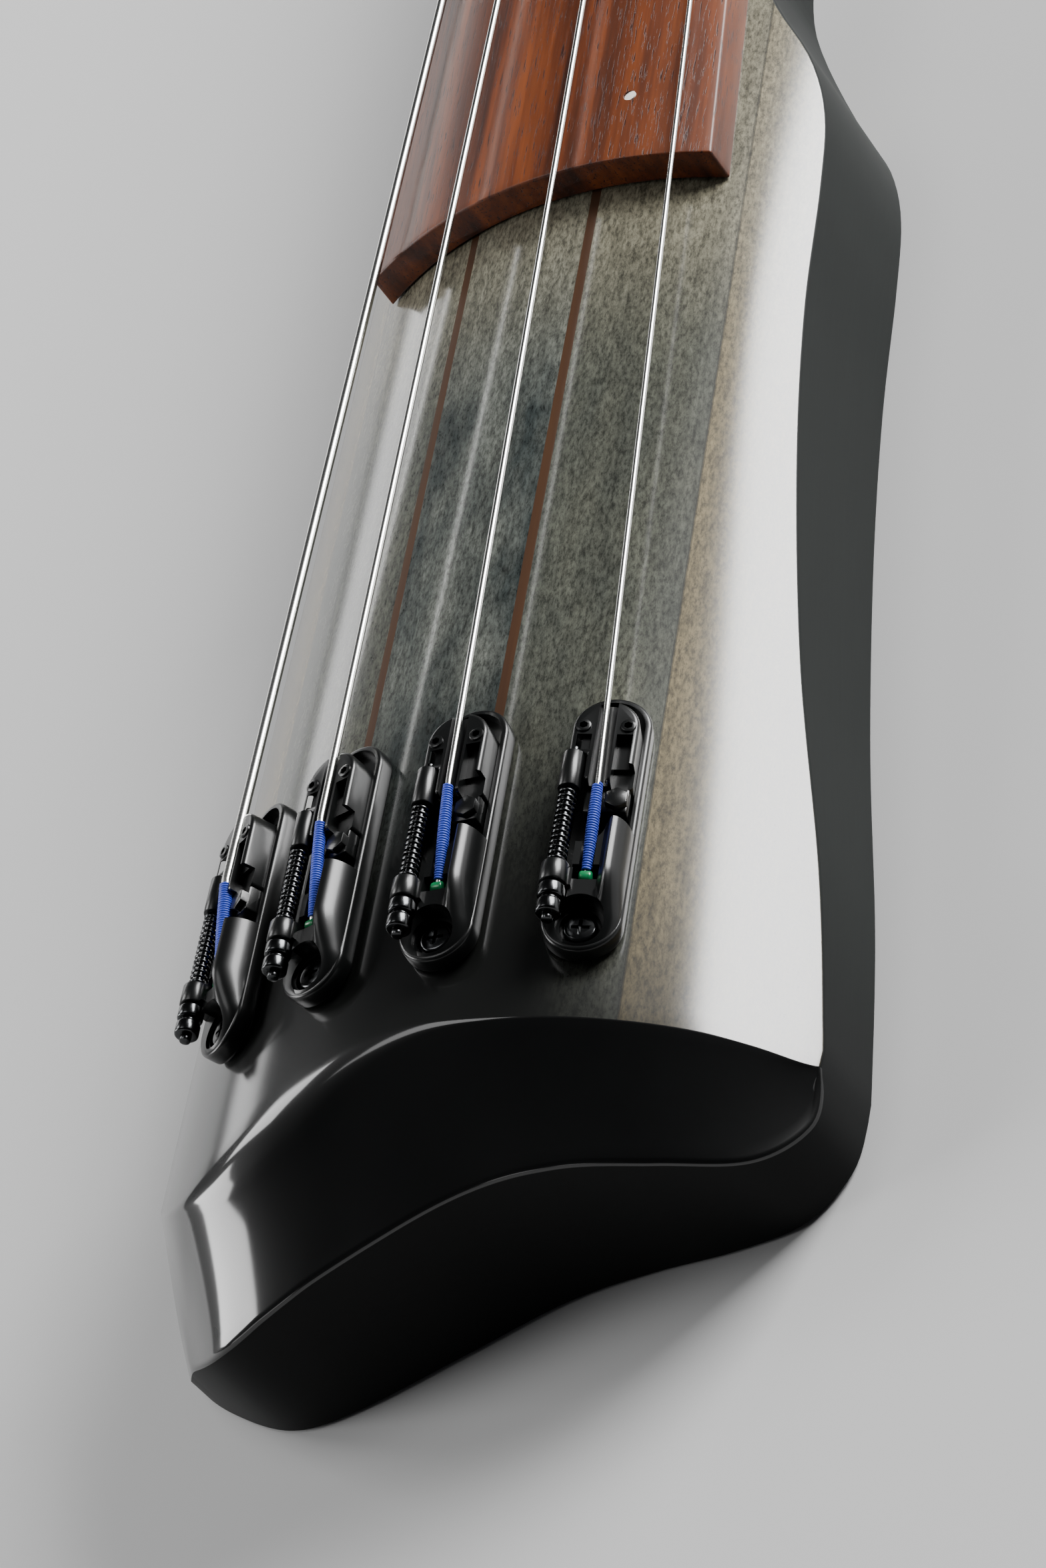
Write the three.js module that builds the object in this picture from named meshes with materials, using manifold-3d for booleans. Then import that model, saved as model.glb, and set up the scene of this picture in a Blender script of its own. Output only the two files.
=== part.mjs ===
// Electric cello: a solid laminated body with an arched top, a neck with an arched fretless fingerboard,
// four single-string bridge units, geared tuners, and the electronics in the back. Millimetres, +Z up.
// The instrument lies on its flat back: +X is the treble side, +Y runs along the neck to the head and
// +Z points out of the front. The origin is on the back plane, under the line of the bridge saddles.
import * as THREE from 'three';
import { mergeVertices } from 'three/addons/utils/BufferGeometryUtils.js';
import Module from 'manifold-3d';

const wasm = await Module();
wasm.setup();

// Driving dimensions
const gap = 0.3; // clearance between pieces that touch
const stringLength = 690;
const archRadius = 66;
const crestHeight = 39.2;
const archCentre = crestHeight - archRadius;
const boardEnd = 123.3; // where the fingerboard stops, measured from the saddle line
const bodyEnd = 186; // where the body ends and the free neck starts
const boardThickness = 5.5;
const boardHalfWidth = 31;
const nutHalfWidth = 13.8;
const nutLength = 6;
const unitWidth = 10.8;
const unitLength = 43.5;
const unitTail = -28.9; // the tail end of every bridge unit
const unitPitch = THREE.MathUtils.degToRad(16.5);
const stringHeight = 6.8; // over the arch at the saddles
const stringApex = new THREE.Vector3(0, 1033, 60.1); // the point that all four strings aim at
const stringDiameters = [1.5, 1.1, 0.95, 0.8]; // bass to treble
const stripCentre = 11.1;
const stripThickness = 1.5;
const wingLine = 33; // where the outer wings are glued on
const headTilt = THREE.MathUtils.degToRad(15.5);
const headThickness = 14;
const headLength = 132;
const headTop = new THREE.Vector3(0, 694, 48); // where the head's front face starts

const maple = new THREE.MeshStandardMaterial({ color: 0x6e6c62, roughness: 0.25, metalness: 0 });
const darkMaple = new THREE.MeshStandardMaterial({ color: 0x2c302e, roughness: 0.35, metalness: 0 });
const wenge = new THREE.MeshStandardMaterial({ color: 0x55412f, roughness: 0.3, metalness: 0 });
const padauk = new THREE.MeshStandardMaterial({ color: 0x8a3d1c, roughness: 0.45, metalness: 0 });
const pearl = new THREE.MeshStandardMaterial({ color: 0xe8e6df, roughness: 0.3, metalness: 0 });
const bone = new THREE.MeshStandardMaterial({ color: 0x1a1a1a, roughness: 0.5, metalness: 0 });
const blackAlloy = new THREE.MeshStandardMaterial({ color: 0x17181a, roughness: 0.35, metalness: 0.8 });
const blackSteel = new THREE.MeshStandardMaterial({ color: 0x1d1e20, roughness: 0.3, metalness: 0.9 });
const steel = new THREE.MeshStandardMaterial({ color: 0xc9c9c6, roughness: 0.25, metalness: 1 });
const plastic = new THREE.MeshStandardMaterial({ color: 0x111213, roughness: 0.5, metalness: 0 });
const boardGreen = new THREE.MeshStandardMaterial({ color: 0x1d5a35, roughness: 0.5, metalness: 0 });
const batteryGrey = new THREE.MeshStandardMaterial({ color: 0x5a5d60, roughness: 0.4, metalness: 0.5 });

const cello = new THREE.Group();
cello.name = 'cello';

// Solids: three.js geometries in and out of manifold-3d
function solidOf(geometry) {
  const bare = geometry.clone();
  bare.deleteAttribute('normal');
  bare.deleteAttribute('uv');
  const merged = mergeVertices(bare, 1e-4);
  const vertProperties = new Float32Array(merged.attributes.position.array);
  const triVerts = new Uint32Array(merged.index.array);
  return new wasm.Manifold(new wasm.Mesh({ numProp: 3, vertProperties, triVerts }));
}

function geometryOf(solid) {
  const mesh = solid.getMesh();
  const geometry = new THREE.BufferGeometry();
  geometry.setAttribute('position', new THREE.BufferAttribute(mesh.vertProperties, 3));
  geometry.setIndex(new THREE.BufferAttribute(mesh.triVerts, 1));
  return geometry;
}

function addPiece(name, solid, material, place = new THREE.Matrix4()) {
  const mesh = new THREE.Mesh(geometryOf(solid), material);
  mesh.name = name;
  mesh.applyMatrix4(place);
  cello.add(mesh);
}

function block(x0, x1, y0, y1, z0, z1) {
  const geometry = new THREE.BoxGeometry(x1 - x0, y1 - y0, z1 - z0);
  geometry.translate((x0 + x1) / 2, (y0 + y1) / 2, (z0 + z1) / 2);
  return solidOf(geometry);
}

function rod(from, to, radius, sides = 16, endRadius = radius) {
  const along = new THREE.Vector3().subVectors(to, from);
  const geometry = new THREE.CylinderGeometry(endRadius, radius, along.length(), sides);
  const direction = along.clone().normalize();
  const turn = new THREE.Quaternion().setFromUnitVectors(new THREE.Vector3(0, 1, 0), direction);
  geometry.applyQuaternion(turn);
  geometry.translate(...new THREE.Vector3().addVectors(from, to).multiplyScalar(0.5));
  return solidOf(geometry);
}

function vec(x, y, z) {
  return new THREE.Vector3(x, y, z);
}

// A closed solid through rings that all have the same number of points
function loft(rings) {
  const count = rings[0].length;
  const positions = rings.flat().flatMap((p) => [p.x, p.y, p.z]);
  const index = [];
  for (let r = 0; r + 1 < rings.length; r += 1) {
    for (let i = 0; i < count; i += 1) {
      const a = r * count + i;
      const b = r * count + ((i + 1) % count);
      index.push(a, b, b + count, a, b + count, a + count);
    }
  }
  capRing(rings[0], 0, true, index);
  capRing(rings[rings.length - 1], (rings.length - 1) * count, false, index);
  const geometry = new THREE.BufferGeometry();
  geometry.setAttribute('position', new THREE.Float32BufferAttribute(positions, 3));
  geometry.setIndex(index);
  const solid = solidOf(geometry);
  return solid.volume() > 0 ? solid : solidOf(flipped(geometry));
}

function capRing(ring, first, reversed, index) {
  const normal = new THREE.Vector3();
  ring.forEach((p, i) => normal.add(new THREE.Vector3().crossVectors(p, ring[(i + 1) % ring.length])));
  normal.normalize();
  const across = Math.abs(normal.z) < 0.9 ? vec(0, 0, 1) : vec(1, 0, 0);
  const u = new THREE.Vector3().crossVectors(across, normal).normalize();
  const v = new THREE.Vector3().crossVectors(normal, u);
  const flat = ring.map((p) => new THREE.Vector2(p.dot(u), p.dot(v)));
  for (const [a, b, c] of THREE.ShapeUtils.triangulateShape(flat, [])) {
    index.push(...(reversed ? [first + c, first + b, first + a] : [first + a, first + b, first + c]));
  }
}

function flipped(geometry) {
  const turned = geometry.clone();
  turned.setIndex(Array.from(geometry.index.array).reverse());
  return turned;
}

function extruded(shape, depth, place = new THREE.Matrix4(), curveSegments = 8) {
  const geometry = new THREE.ExtrudeGeometry(shape, { depth, bevelEnabled: false, curveSegments, steps: 1 });
  geometry.applyMatrix4(place);
  return solidOf(geometry);
}

// The body's outline on the back plane: the treble side runs down from the neck, the tail sweeps across
// in an S with its lobe on the bass side, and the bass side mirrors the treble side
const sidePoints = [
  [29.3, bodyEnd], [29.9, 177], [33.5, 165], [38.8, 153.5], [41.6, 141], [42.3, 124], [42.4, 97],
  [43.8, 66], [46.8, 28.6], [50.8, -5.6], [52.7, -30],
];
const tailPoints = [
  [52.9, -38], [51.2, -46], [45, -52], [34.6, -53.8], [22, -54.1], [9.4, -55.6], [-5.5, -60.3],
  [-22, -65.4], [-32.3, -66.3], [-42.2, -62], [-50, -56], [-53.3, -48.5], [-53.2, -40],
];

function bodyOutline() {
  const treble = sidePoints.map(([x, y]) => new THREE.Vector2(x, y));
  const tail = tailPoints.map(([x, y]) => new THREE.Vector2(x, y));
  const bass = sidePoints.map(([x, y]) => new THREE.Vector2(-x, y)).reverse();
  const curve = new THREE.SplineCurve([...treble, ...tail, ...bass]);
  return new THREE.Shape(curve.getPoints(110));
}

function archHeight(x) {
  return archCentre + Math.sqrt(archRadius ** 2 - x ** 2);
}

// A cylinder section under the arch, from y0 to y1, wide enough for the whole body
function underArch(y0, y1, lift = 0) {
  const halfWidth = 60;
  const points = [new THREE.Vector2(-halfWidth, -1), new THREE.Vector2(halfWidth, -1)];
  const steps = 32;
  for (let i = 0; i <= steps; i += 1) {
    const x = halfWidth * Math.cos((Math.PI * i) / steps);
    points.push(new THREE.Vector2(x, archHeight(x) + lift));
  }
  const stand = new THREE.Matrix4().makeRotationX(Math.PI / 2).setPosition(0, y1, 0);
  return extruded(new THREE.Shape(points), y1 - y0, stand);
}

// The scooped facet at the tail: stations from the treble corner round to the bass side, each with a
// point on the arch where the facet starts, a point on the outline where it ends, and its drop there
const facetStations = [
  [54.5, -37.5, 54.6, -38.5, 0.2], [51.5, -38.4, 53.6, -43.5, 2.6], [47, -38, 49.5, -49.5, 5.2],
  [41, -37.6, 42, -53.2, 7.6], [32, -37.5, 32, -54.6, 9.2], [20, -37.4, 20, -55, 11],
  [8, -37.6, 8.4, -56.6, 12.8], [-1, -39.6, -6, -61.2, 13.4], [-10, -43.6, -16, -64.8, 13.2],
  [-18, -46.8, -24.5, -66.8, 12.8], [-26, -48.8, -33, -67.4, 12.7], [-34, -48.6, -43.2, -63, 12],
  [-41.5, -45, -50.8, -57.2, 10], [-48, -38.5, -54.6, -48.5, 7], [-54.5, -30, -55.4, -37, 2.2],
];

function facetCutter() {
  const lift = 8;
  const reach = 14;
  const rings = facetStations.map(([ux, uy, lx, ly, drop]) => {
    const upper = vec(ux, uy, archHeight(ux));
    const lower = vec(lx, ly, archHeight(lx) - drop);
    const slope = new THREE.Vector3().subVectors(lower, upper);
    const over = upper.clone().addScaledVector(slope, -0.25);
    over.z = archHeight(over.x) + lift;
    const out = lower.clone().addScaledVector(slope, reach / slope.length());
    return [upper, lower, out, vec(out.x, out.y, crestHeight + lift), over];
  });
  return loft(rings);
}

function bodyBlank() {
  const plan = extruded(bodyOutline(), crestHeight + 6);
  const arched = plan.intersect(underArch(-80, bodyEnd + 4));
  const heelScoop = rod(vec(-60, 190, -20), vec(60, 190, -20), 35, 40);
  return arched.subtract(facetCutter()).subtract(heelScoop);
}

// Openings in the body
const cavity = { x: 24.6, y0: 62, y1: 128, z0: 2.3, z1: 20.5 };
const cover = { x: 30, y0: 57, y1: 133, z0: 0.3, z1: 2.3 };
const tenon = { x: 14, y0: 136, z0: 16 };
const controls = { z: 11.6, potY: 101, jackY: 119, wall: -42.4 };

function bodyOpenings() {
  const room = block(-cavity.x, cavity.x, cavity.y0, cavity.y1, -1, cavity.z1);
  const seat = block(-cover.x - gap, cover.x + gap, cover.y0 - gap, cover.y1 + gap, -1, cover.z1 + gap);
  const x = tenon.x + gap;
  const pocket = block(-x, x, tenon.y0 - gap, bodyEnd + 5, tenon.z0 - gap, crestHeight + 5);
  const jackBore = rod(vec(-60, controls.jackY, controls.z), vec(-20, controls.jackY, controls.z), 5.3, 20);
  const potBore = rod(vec(-60, controls.potY, controls.z), vec(-20, controls.potY, controls.z), 4, 16);
  const jackSeat = rod(vec(-60, controls.jackY, controls.z), vec(-41.2, controls.jackY, controls.z), 7.6, 24);
  const knobSeat = rod(vec(-60, controls.potY, controls.z), vec(-41.6, controls.potY, controls.z), 6.7, 24);
  const screwHoles = [...coverScrewHoles(), ...unitScrewHoles()];
  return [room, seat, pocket, jackBore, potBore, jackSeat, knobSeat, ...screwHoles];
}

function coverScrewPlaces() {
  return [-1, 1].flatMap((side) => [cover.y0 + 3.2, cover.y1 - 3.2].map((y) => [side * (cover.x - 3.2), y]));
}

function coverScrewHoles() {
  return coverScrewPlaces().map(([x, y]) => rod(vec(x, y, -1), vec(x, y, 10.6), 1.35, 12));
}

// Bridge units: each stands square to the arch, with its tail end towards the body's tail
function unitAngle(n) {
  return (n - 2.5) * unitPitch;
}

function unitPlace(n) {
  const angle = unitAngle(n);
  const foot = archRadius + gap;
  const place = new THREE.Matrix4().makeRotationY(angle);
  return place.setPosition(foot * Math.sin(angle), unitTail, archCentre + foot * Math.cos(angle));
}

const mountScrew = { y: 5.4, radius: 1.3, head: 2.5, seat: 1.6, depth: 14 };

function unitScrewHoles() {
  return [1, 2, 3, 4].map((n) => {
    const bottom = vec(0, mountScrew.y, -mountScrew.depth - 0.6);
    const hole = rod(bottom, vec(0, mountScrew.y, 4), mountScrew.radius + gap, 12);
    return hole.transform(unitPlace(n).toArray());
  });
}

function stadium(halfWidth, y0, y1, arcSteps = 9) {
  const shape = new THREE.Shape();
  shape.absarc(0, y1 - halfWidth, halfWidth, 0, Math.PI, false);
  shape.absarc(0, y0 + halfWidth, halfWidth, Math.PI, 2 * Math.PI, false);
  return new THREE.Shape(shape.getPoints(arcSteps));
}

function slab(shape, z0, z1) {
  return extruded(shape, z1 - z0, new THREE.Matrix4().makeTranslation(0, 0, z0));
}

const unit = { floor: 1.2, rim: 2.8, rimWall: 0.9, caseEnd: 19.2, caseTop: 7.6, screwX: -3.8, screwZ: 5.6 };
const saddle = { y0: 26.4, y1: 38, z0: 1.6, z1: 8.1, halfWidth: 4.2, stepY: 21.8, stepZ: 4.6, grooveZ: 5.3 };
const lengthScrew = { headEnd: 3.4, collarStart: 8.3, collarEnd: 11.6, sleeveStart: 24.5, sleeveEnd: 29.6 };
const springRadius = 1.35;
const sleeveRadius = 1.5;
const screwRadius = 0.6;

function bridgeBase() {
  const half = unitWidth / 2;
  const tray = slab(stadium(half, 0, unitLength), 0, unit.rim);
  const channelEdge = stadium(half - unit.rimWall, unit.caseEnd - half, unitLength - unit.rimWall);
  const channel = slab(channelEdge, unit.floor, 20);
  const frontOnly = channel.intersect(block(-20, 20, unit.caseEnd, 60, 0, 30));
  const tailCase = slab(stadium(half - 0.2, 0.2, unitLength), unit.rim - 0.5, unit.caseTop)
    .intersect(block(-20, 20, 0, unit.caseEnd, 0, 30));
  const nose = block(-20, 20, -8, 0, 0, 6).rotate(48, 0, 0).translate(0, 0.6, 3.6);
  const screwClear = block(-20, -1.9, -5, 8.1, unit.rim, 20).add(block(-20, -1.9, 11.8, 40, unit.rim, 20));
  const ballSlot = block(-1.4, 1.4, 9.6, 40, 3.4, 20);
  const ballPocket = rod(vec(-2.6, 11.2, 4.4), vec(2.4, 11.2, 4.4), 2, 16);
  const cup = rod(vec(0, mountScrew.y, mountScrew.seat + 1.2), vec(0, mountScrew.y, 20), 3, 18);
  const hole = rod(vec(0, mountScrew.y, -5), vec(0, mountScrew.y, 20), mountScrew.radius + gap, 16);
  const at = (y) => vec(unit.screwX, y, unit.screwZ);
  const collar = rod(at(lengthScrew.collarStart), at(lengthScrew.collarEnd), sleeveRadius + 0.35, 16)
    .add(block(unit.screwX - 1, -1.5, lengthScrew.collarStart, lengthScrew.collarEnd, 1, unit.screwZ));
  const screwWay = rod(at(-5), at(40), screwRadius + gap, 12);
  return tray.subtract(frontOnly).add(tailCase).subtract(nose).subtract(screwClear).add(collar)
    .subtract(ballSlot).subtract(ballPocket).subtract(cup).subtract(hole).subtract(screwWay);
}

function bridgeSaddle() {
  const { y0, y1, z0, z1, halfWidth, stepY, stepZ, grooveZ } = saddle;
  const top = slab(stadium(halfWidth, y0 - halfWidth * 2, y1), z0, z1)
    .intersect(block(-20, 20, y0, 60, 0, 30));
  const step = block(-1.8, halfWidth, stepY, y0 + 1, z0, stepZ);
  const foot = block(-halfWidth + 0.6, halfWidth - 0.6, stepY + 1, y1 - 4, z0, z0 + 2);
  const groove = block(-1.35, 1.35, stepY - 5, y1 + 5, grooveZ, 20);
  const lugEnd = lengthScrew.sleeveEnd;
  const sleeve = rod(
    vec(unit.screwX, lengthScrew.sleeveStart, unit.screwZ),
    vec(unit.screwX, lugEnd, unit.screwZ),
    sleeveRadius,
    16,
  );
  const screwLine = (y) => vec(unit.screwX, y, unit.screwZ);
  const screwWay = rod(screwLine(0), screwLine(36), screwRadius + gap, 12);
  const clampBoss = rod(vec(2.6, 23.6, z0), vec(2.6, 23.6, stepZ + 1), 1.7, 6);
  return top.add(step).add(foot).add(sleeve).add(clampBoss).subtract(groove).subtract(screwWay);
}

function lengthScrewSolid() {
  const at = (y) => vec(unit.screwX, y, unit.screwZ);
  const thread = rod(at(lengthScrew.collarStart - 2), at(lengthScrew.sleeveEnd + 4), screwRadius, 12);
  const head = rod(at(lengthScrew.headEnd), at(lengthScrew.headEnd + 2), 1.7, 16);
  const neckPart = rod(at(lengthScrew.headEnd + 1.9), at(lengthScrew.headEnd + 2.7), 1.3, 16);
  const ring = rod(at(lengthScrew.headEnd + 2.6), at(lengthScrew.collarStart - gap), 1.8, 16);
  const tip = rod(at(lengthScrew.headEnd - 1), at(lengthScrew.headEnd + 0.1), 0.8, 12);
  return thread.add(head).add(neckPart).add(ring).add(tip);
}

function springSolid() {
  const at = (y) => vec(unit.screwX, y, unit.screwZ);
  const outer = rod(at(lengthScrew.collarEnd + gap), at(lengthScrew.sleeveStart - gap), springRadius, 16);
  return outer.subtract(rod(at(0), at(60), screwRadius + gap, 12));
}

function mountScrewSolid() {
  const { y, radius, head, seat, depth } = mountScrew;
  const shank = rod(vec(0, y, -depth), vec(0, y, seat + 2), radius, 12);
  const cap = rod(vec(0, y, seat + 1.2 + gap), vec(0, y, seat + 2.9), head, 20);
  const cross = block(-1.5, 1.5, y - 0.3, y + 0.3, seat + 2.2, 9)
    .add(block(-0.3, 0.3, y - 1.5, y + 1.5, seat + 2.2, 9));
  return shank.add(cap).subtract(cross);
}

function addBridgeUnits() {
  for (const n of [1, 2, 3, 4]) {
    const place = unitPlace(n);
    addPiece(`bridge_base_${n}`, bridgeBase(), blackAlloy, place);
    addPiece(`bridge_saddle_${n}`, bridgeSaddle(), blackAlloy, place);
    addPiece(`length_screw_${n}`, lengthScrewSolid(), blackSteel, place);
    addPiece(`length_spring_${n}`, springSolid(), blackSteel, place);
    addPiece(`mount_screw_${n}`, mountScrewSolid(), blackSteel, place);
  }
}

// Strings: every string aims at the common apex, and winds on its own post at the head
function stringAt(n, y) {
  const angle = unitAngle(n);
  const radius = archRadius + stringHeight;
  const start = vec(radius * Math.sin(angle), 0, archCentre + radius * Math.cos(angle));
  return start.addScaledVector(new THREE.Vector3().subVectors(stringApex, start), y / stringApex.y);
}

function unitPoint(n, x, y, z) {
  return vec(x, y, z).applyMatrix4(unitPlace(n));
}

function headPoint(x, along, height) {
  const y = headTop.y + along * Math.cos(headTilt) + height * Math.sin(headTilt);
  return vec(x, y, headTop.z - along * Math.sin(headTilt) + height * Math.cos(headTilt));
}

// Posts: the inner strings take the far pair, the outer strings the near pair
const postPlaces = [
  { side: -1, along: 30 }, { side: -1, along: 76 }, { side: 1, along: 76 }, { side: 1, along: 30 },
];
const post = { offset: 13.5, radius: 3, below: 10, above: 10, wrapHeight: 5 };

// A round bar along a bent line, with its own radius at every point
function sweep(points, radii, sides = 8) {
  const rings = points.map((p, i) => {
    const before = points[Math.max(0, i - 1)];
    const after = points[Math.min(points.length - 1, i + 1)];
    const along = new THREE.Vector3().subVectors(after, before).normalize();
    const across = new THREE.Vector3().crossVectors(along, vec(0, 0, 1)).normalize();
    const up = new THREE.Vector3().crossVectors(across, along);
    return Array.from({ length: sides }, (_, k) => {
      const a = (2 * Math.PI * k) / sides;
      const [sideways, upward] = [radii[i] * Math.cos(a), radii[i] * Math.sin(a)];
      return p.clone().addScaledVector(across, sideways).addScaledVector(up, upward);
    });
  });
  return loft(rings);
}

const silkRadius = 0.75;
const ballEnd = { along: 11.2, height: 4.4, radius: 1.6, halfLength: 1.9 };
const saddleBack = -5.2; // where the string starts to dip towards its ball end

function stringSolid(n) {
  const radius = stringDiameters[n - 1] / 2;
  const ball = unitPoint(n, 0, ballEnd.along, ballEnd.height);
  const bend = stringAt(n, saddleBack);
  const onDip = (t) => new THREE.Vector3().lerpVectors(ball, bend, t);
  const points = [ball, onDip(0.12), onDip(0.16), onDip(0.9), onDip(0.94), bend, nutPoint(n), wrapPoint(n)];
  const radii = [radius, radius, silkRadius, silkRadius, radius, radius, radius, radius];
  const across = (x) => unitPoint(n, x, ballEnd.along, ballEnd.height);
  const barrel = rod(across(-ballEnd.halfLength), across(ballEnd.halfLength), ballEnd.radius, 12);
  return sweep(points, radii).add(barrel).add(postWrap(n, radius));
}

function nutPoint(n) {
  return stringAt(n, stringLength + nutLength / 2);
}

function wrapPoint(n) {
  const { side, along } = postPlaces[n - 1];
  const reach = post.radius + stringDiameters[n - 1] / 2 + gap;
  return headPoint(side * (post.offset - reach), along, post.wrapHeight);
}

function postWrap(n, radius) {
  const { side, along } = postPlaces[n - 1];
  const at = (height) => headPoint(side * post.offset, along, height);
  const inner = post.radius + gap;
  const [lowest, highest] = [at(post.wrapHeight - 2.2 * radius), at(post.wrapHeight + 1.3 * radius)];
  const turns = rod(lowest, highest, inner + 2 * radius, 20);
  return turns.subtract(rod(at(-5), at(20), inner, 20));
}

function addStrings() {
  for (const n of [1, 2, 3, 4]) addPiece(`string_${n}`, stringSolid(n), steel);
}

// Neck, fingerboard and head
function boardTop(y) {
  const t = (y - boardEnd) / (stringLength - boardEnd);
  return {
    crest: THREE.MathUtils.lerp(crestHeight + boardThickness, 54.5, t),
    radius: THREE.MathUtils.lerp(archRadius + boardThickness, 26, t),
    half: THREE.MathUtils.lerp(boardHalfWidth, nutHalfWidth, t),
  };
}

function boardSeat(y) {
  const t = Math.max(0, (y - bodyEnd) / (stringLength - bodyEnd));
  return {
    crest: THREE.MathUtils.lerp(crestHeight, 49, t),
    radius: THREE.MathUtils.lerp(archRadius, 20.5, t),
  };
}

function arcPoints(y, half, crest, radius, count) {
  return Array.from({ length: count + 1 }, (_, i) => {
    const x = half * (1 - (2 * i) / count);
    return vec(x, y, crest - radius + Math.sqrt(radius ** 2 - x ** 2));
  });
}

function fingerboard() {
  const stations = [boardEnd, bodyEnd, 400, stringLength - gap];
  const rings = stations.map((y) => {
    const top = boardTop(y);
    const seat = boardSeat(y);
    const upper = arcPoints(y, top.half, top.crest, top.radius, 20);
    const lower = arcPoints(y, top.half, seat.crest + gap, seat.radius + gap, 20).reverse();
    return [...upper, ...lower];
  });
  return loft(rings);
}

function neckRing(y, back, squareness) {
  const seat = boardSeat(y);
  const half = boardTop(y).half - 0.6;
  const upper = arcPoints(y, half, seat.crest, seat.radius, 16);
  const sideZ = upper[0].z;
  const count = 20;
  const lower = Array.from({ length: count - 1 }, (_, i) => {
    const a = Math.PI * (1 - (i + 1) / count);
    const x = half * Math.sign(Math.cos(a)) * Math.abs(Math.cos(a)) ** (2 / squareness);
    return vec(x, y, sideZ - (sideZ - back) * Math.sin(a) ** (2 / squareness));
  });
  return [...upper, ...lower];
}

function headSlab() {
  const shape = new THREE.Shape();
  shape.moveTo(-13, -4);
  shape.lineTo(13, -4);
  shape.bezierCurveTo(13, 8, 23, 8, 23, 22);
  shape.lineTo(20, headLength - 20);
  shape.bezierCurveTo(19, headLength, 8, headLength, 0, headLength);
  shape.bezierCurveTo(-8, headLength, -19, headLength, -20, headLength - 20);
  shape.lineTo(-23, 22);
  shape.bezierCurveTo(-23, 8, -13, 8, -13, -4);
  const place = new THREE.Matrix4().makeTranslation(0, 0, -headThickness);
  place.premultiply(new THREE.Matrix4().makeRotationX(-headTilt)).premultiply(
    new THREE.Matrix4().makeTranslation(...headTop),
  );
  return extruded(shape, headThickness, place);
}

const rodSlope = Math.atan((49 - crestHeight) / (stringLength - bodyEnd));

function trussRodBlock(grow) {
  const length = 480;
  const bar = block(-2.8 - grow, 2.8 + grow, -grow, length + grow, -9.6 - grow, -1.2 + (grow > 0 ? 8 : 0));
  return bar.rotate(THREE.MathUtils.radToDeg(rodSlope), 0, 0).translate(0, 200, boardSeat(200).crest);
}

function neckSolid() {
  const shaft = loft([
    neckRing(bodyEnd + gap, 15, 6),
    neckRing(215, 17.5, 3.2),
    neckRing(250, 19.5, 2.4),
    neckRing(640, 30, 2.2),
    neckRing(stringLength + 12, 31.5, 2.4),
  ]);
  const tongue = block(-tenon.x, tenon.x, tenon.y0, bodyEnd + gap + 1, tenon.z0, 60)
    .intersect(underArch(100, 220));
  const beyondBoard = block(-40, 40, stringLength + nutLength + gap, 900, 0, 80);
  let neck = shaft.add(tongue).add(headSlab().intersect(beyondBoard));
  neck = neck.subtract(trussRodBlock(gap));
  for (const { side, along } of postPlaces) {
    const x = side * post.offset;
    neck = neck.subtract(rod(headPoint(x, along, -30), headPoint(x, along, 10), post.radius + gap, 20));
  }
  return neck;
}

function nutSolid() {
  const rings = [stringLength, stringLength + nutLength].map((y) => {
    const seat = boardSeat(y);
    const upper = arcPoints(y, nutHalfWidth - 0.6, 56, 25, 14);
    const lower = arcPoints(y, nutHalfWidth - 0.6, seat.crest + gap, seat.radius + gap, 14).reverse();
    return [...upper, ...lower];
  });
  let nut = loft(rings);
  for (const n of [1, 2, 3, 4]) {
    const radius = stringDiameters[n - 1] / 2 + 0.2;
    const way = rod(stringAt(n, 650), stringAt(n, 730), radius, 8);
    const fall = rod(nutPoint(n), wrapPoint(n), radius, 8);
    nut = nut.subtract(way).subtract(fall);
  }
  return nut;
}

// Tuners: a worm box under the head, a post through it, and a button on the worm's shaft
const gearBox = { width: 13, length: 17, height: 9 };
const buttonShaft = { height: -headThickness - gap - 4.6, along: 5.6 };

function tunerPieces(n) {
  const { side, along } = postPlaces[n - 1];
  const x = side * post.offset;
  const under = -headThickness - gap;
  const place = new THREE.Matrix4().makeRotationX(-headTilt).setPosition(...headTop);
  const boxCentre = along + 2;
  let box = block(x - gearBox.width / 2, x + gearBox.width / 2, boxCentre - gearBox.length / 2,
    boxCentre + gearBox.length / 2, under - gearBox.height, under);
  box = box.subtract(rod(vec(x, along, under - 20), vec(x, along, 20), post.radius + gap, 20));
  const shaftPoint = (out) => vec(side * out, along + buttonShaft.along, buttonShaft.height);
  const worm = (a, b, r, sides) => rod(shaftPoint(a), shaftPoint(b), r, sides);
  box = box.subtract(worm(0, 60, 1.9, 12));
  const postFoot = vec(x, along, under - gearBox.height + 0.5);
  const postSolid = rod(postFoot, vec(x, along, post.above), post.radius, 20)
    .subtract(rod(vec(x - 8, along, post.above - 2.6), vec(x + 8, along, post.above - 2.6), 0.9, 10));
  const button = worm(post.offset - 5, 27, 1.6, 12).add(worm(27, 29, 2.4, 12)).add(
    rod(shaftPoint(28.5), shaftPoint(42), 5.6, 16)
      .intersect(block(-60, 60, 0, 200, buttonShaft.height - 2.6, buttonShaft.height + 2.6)),
  );
  addPiece(`tuner_box_${n}`, box, blackAlloy, place);
  addPiece(`string_post_${n}`, postSolid, blackSteel, place);
  addPiece(`tuner_button_${n}`, button, blackAlloy, place);
}

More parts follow.
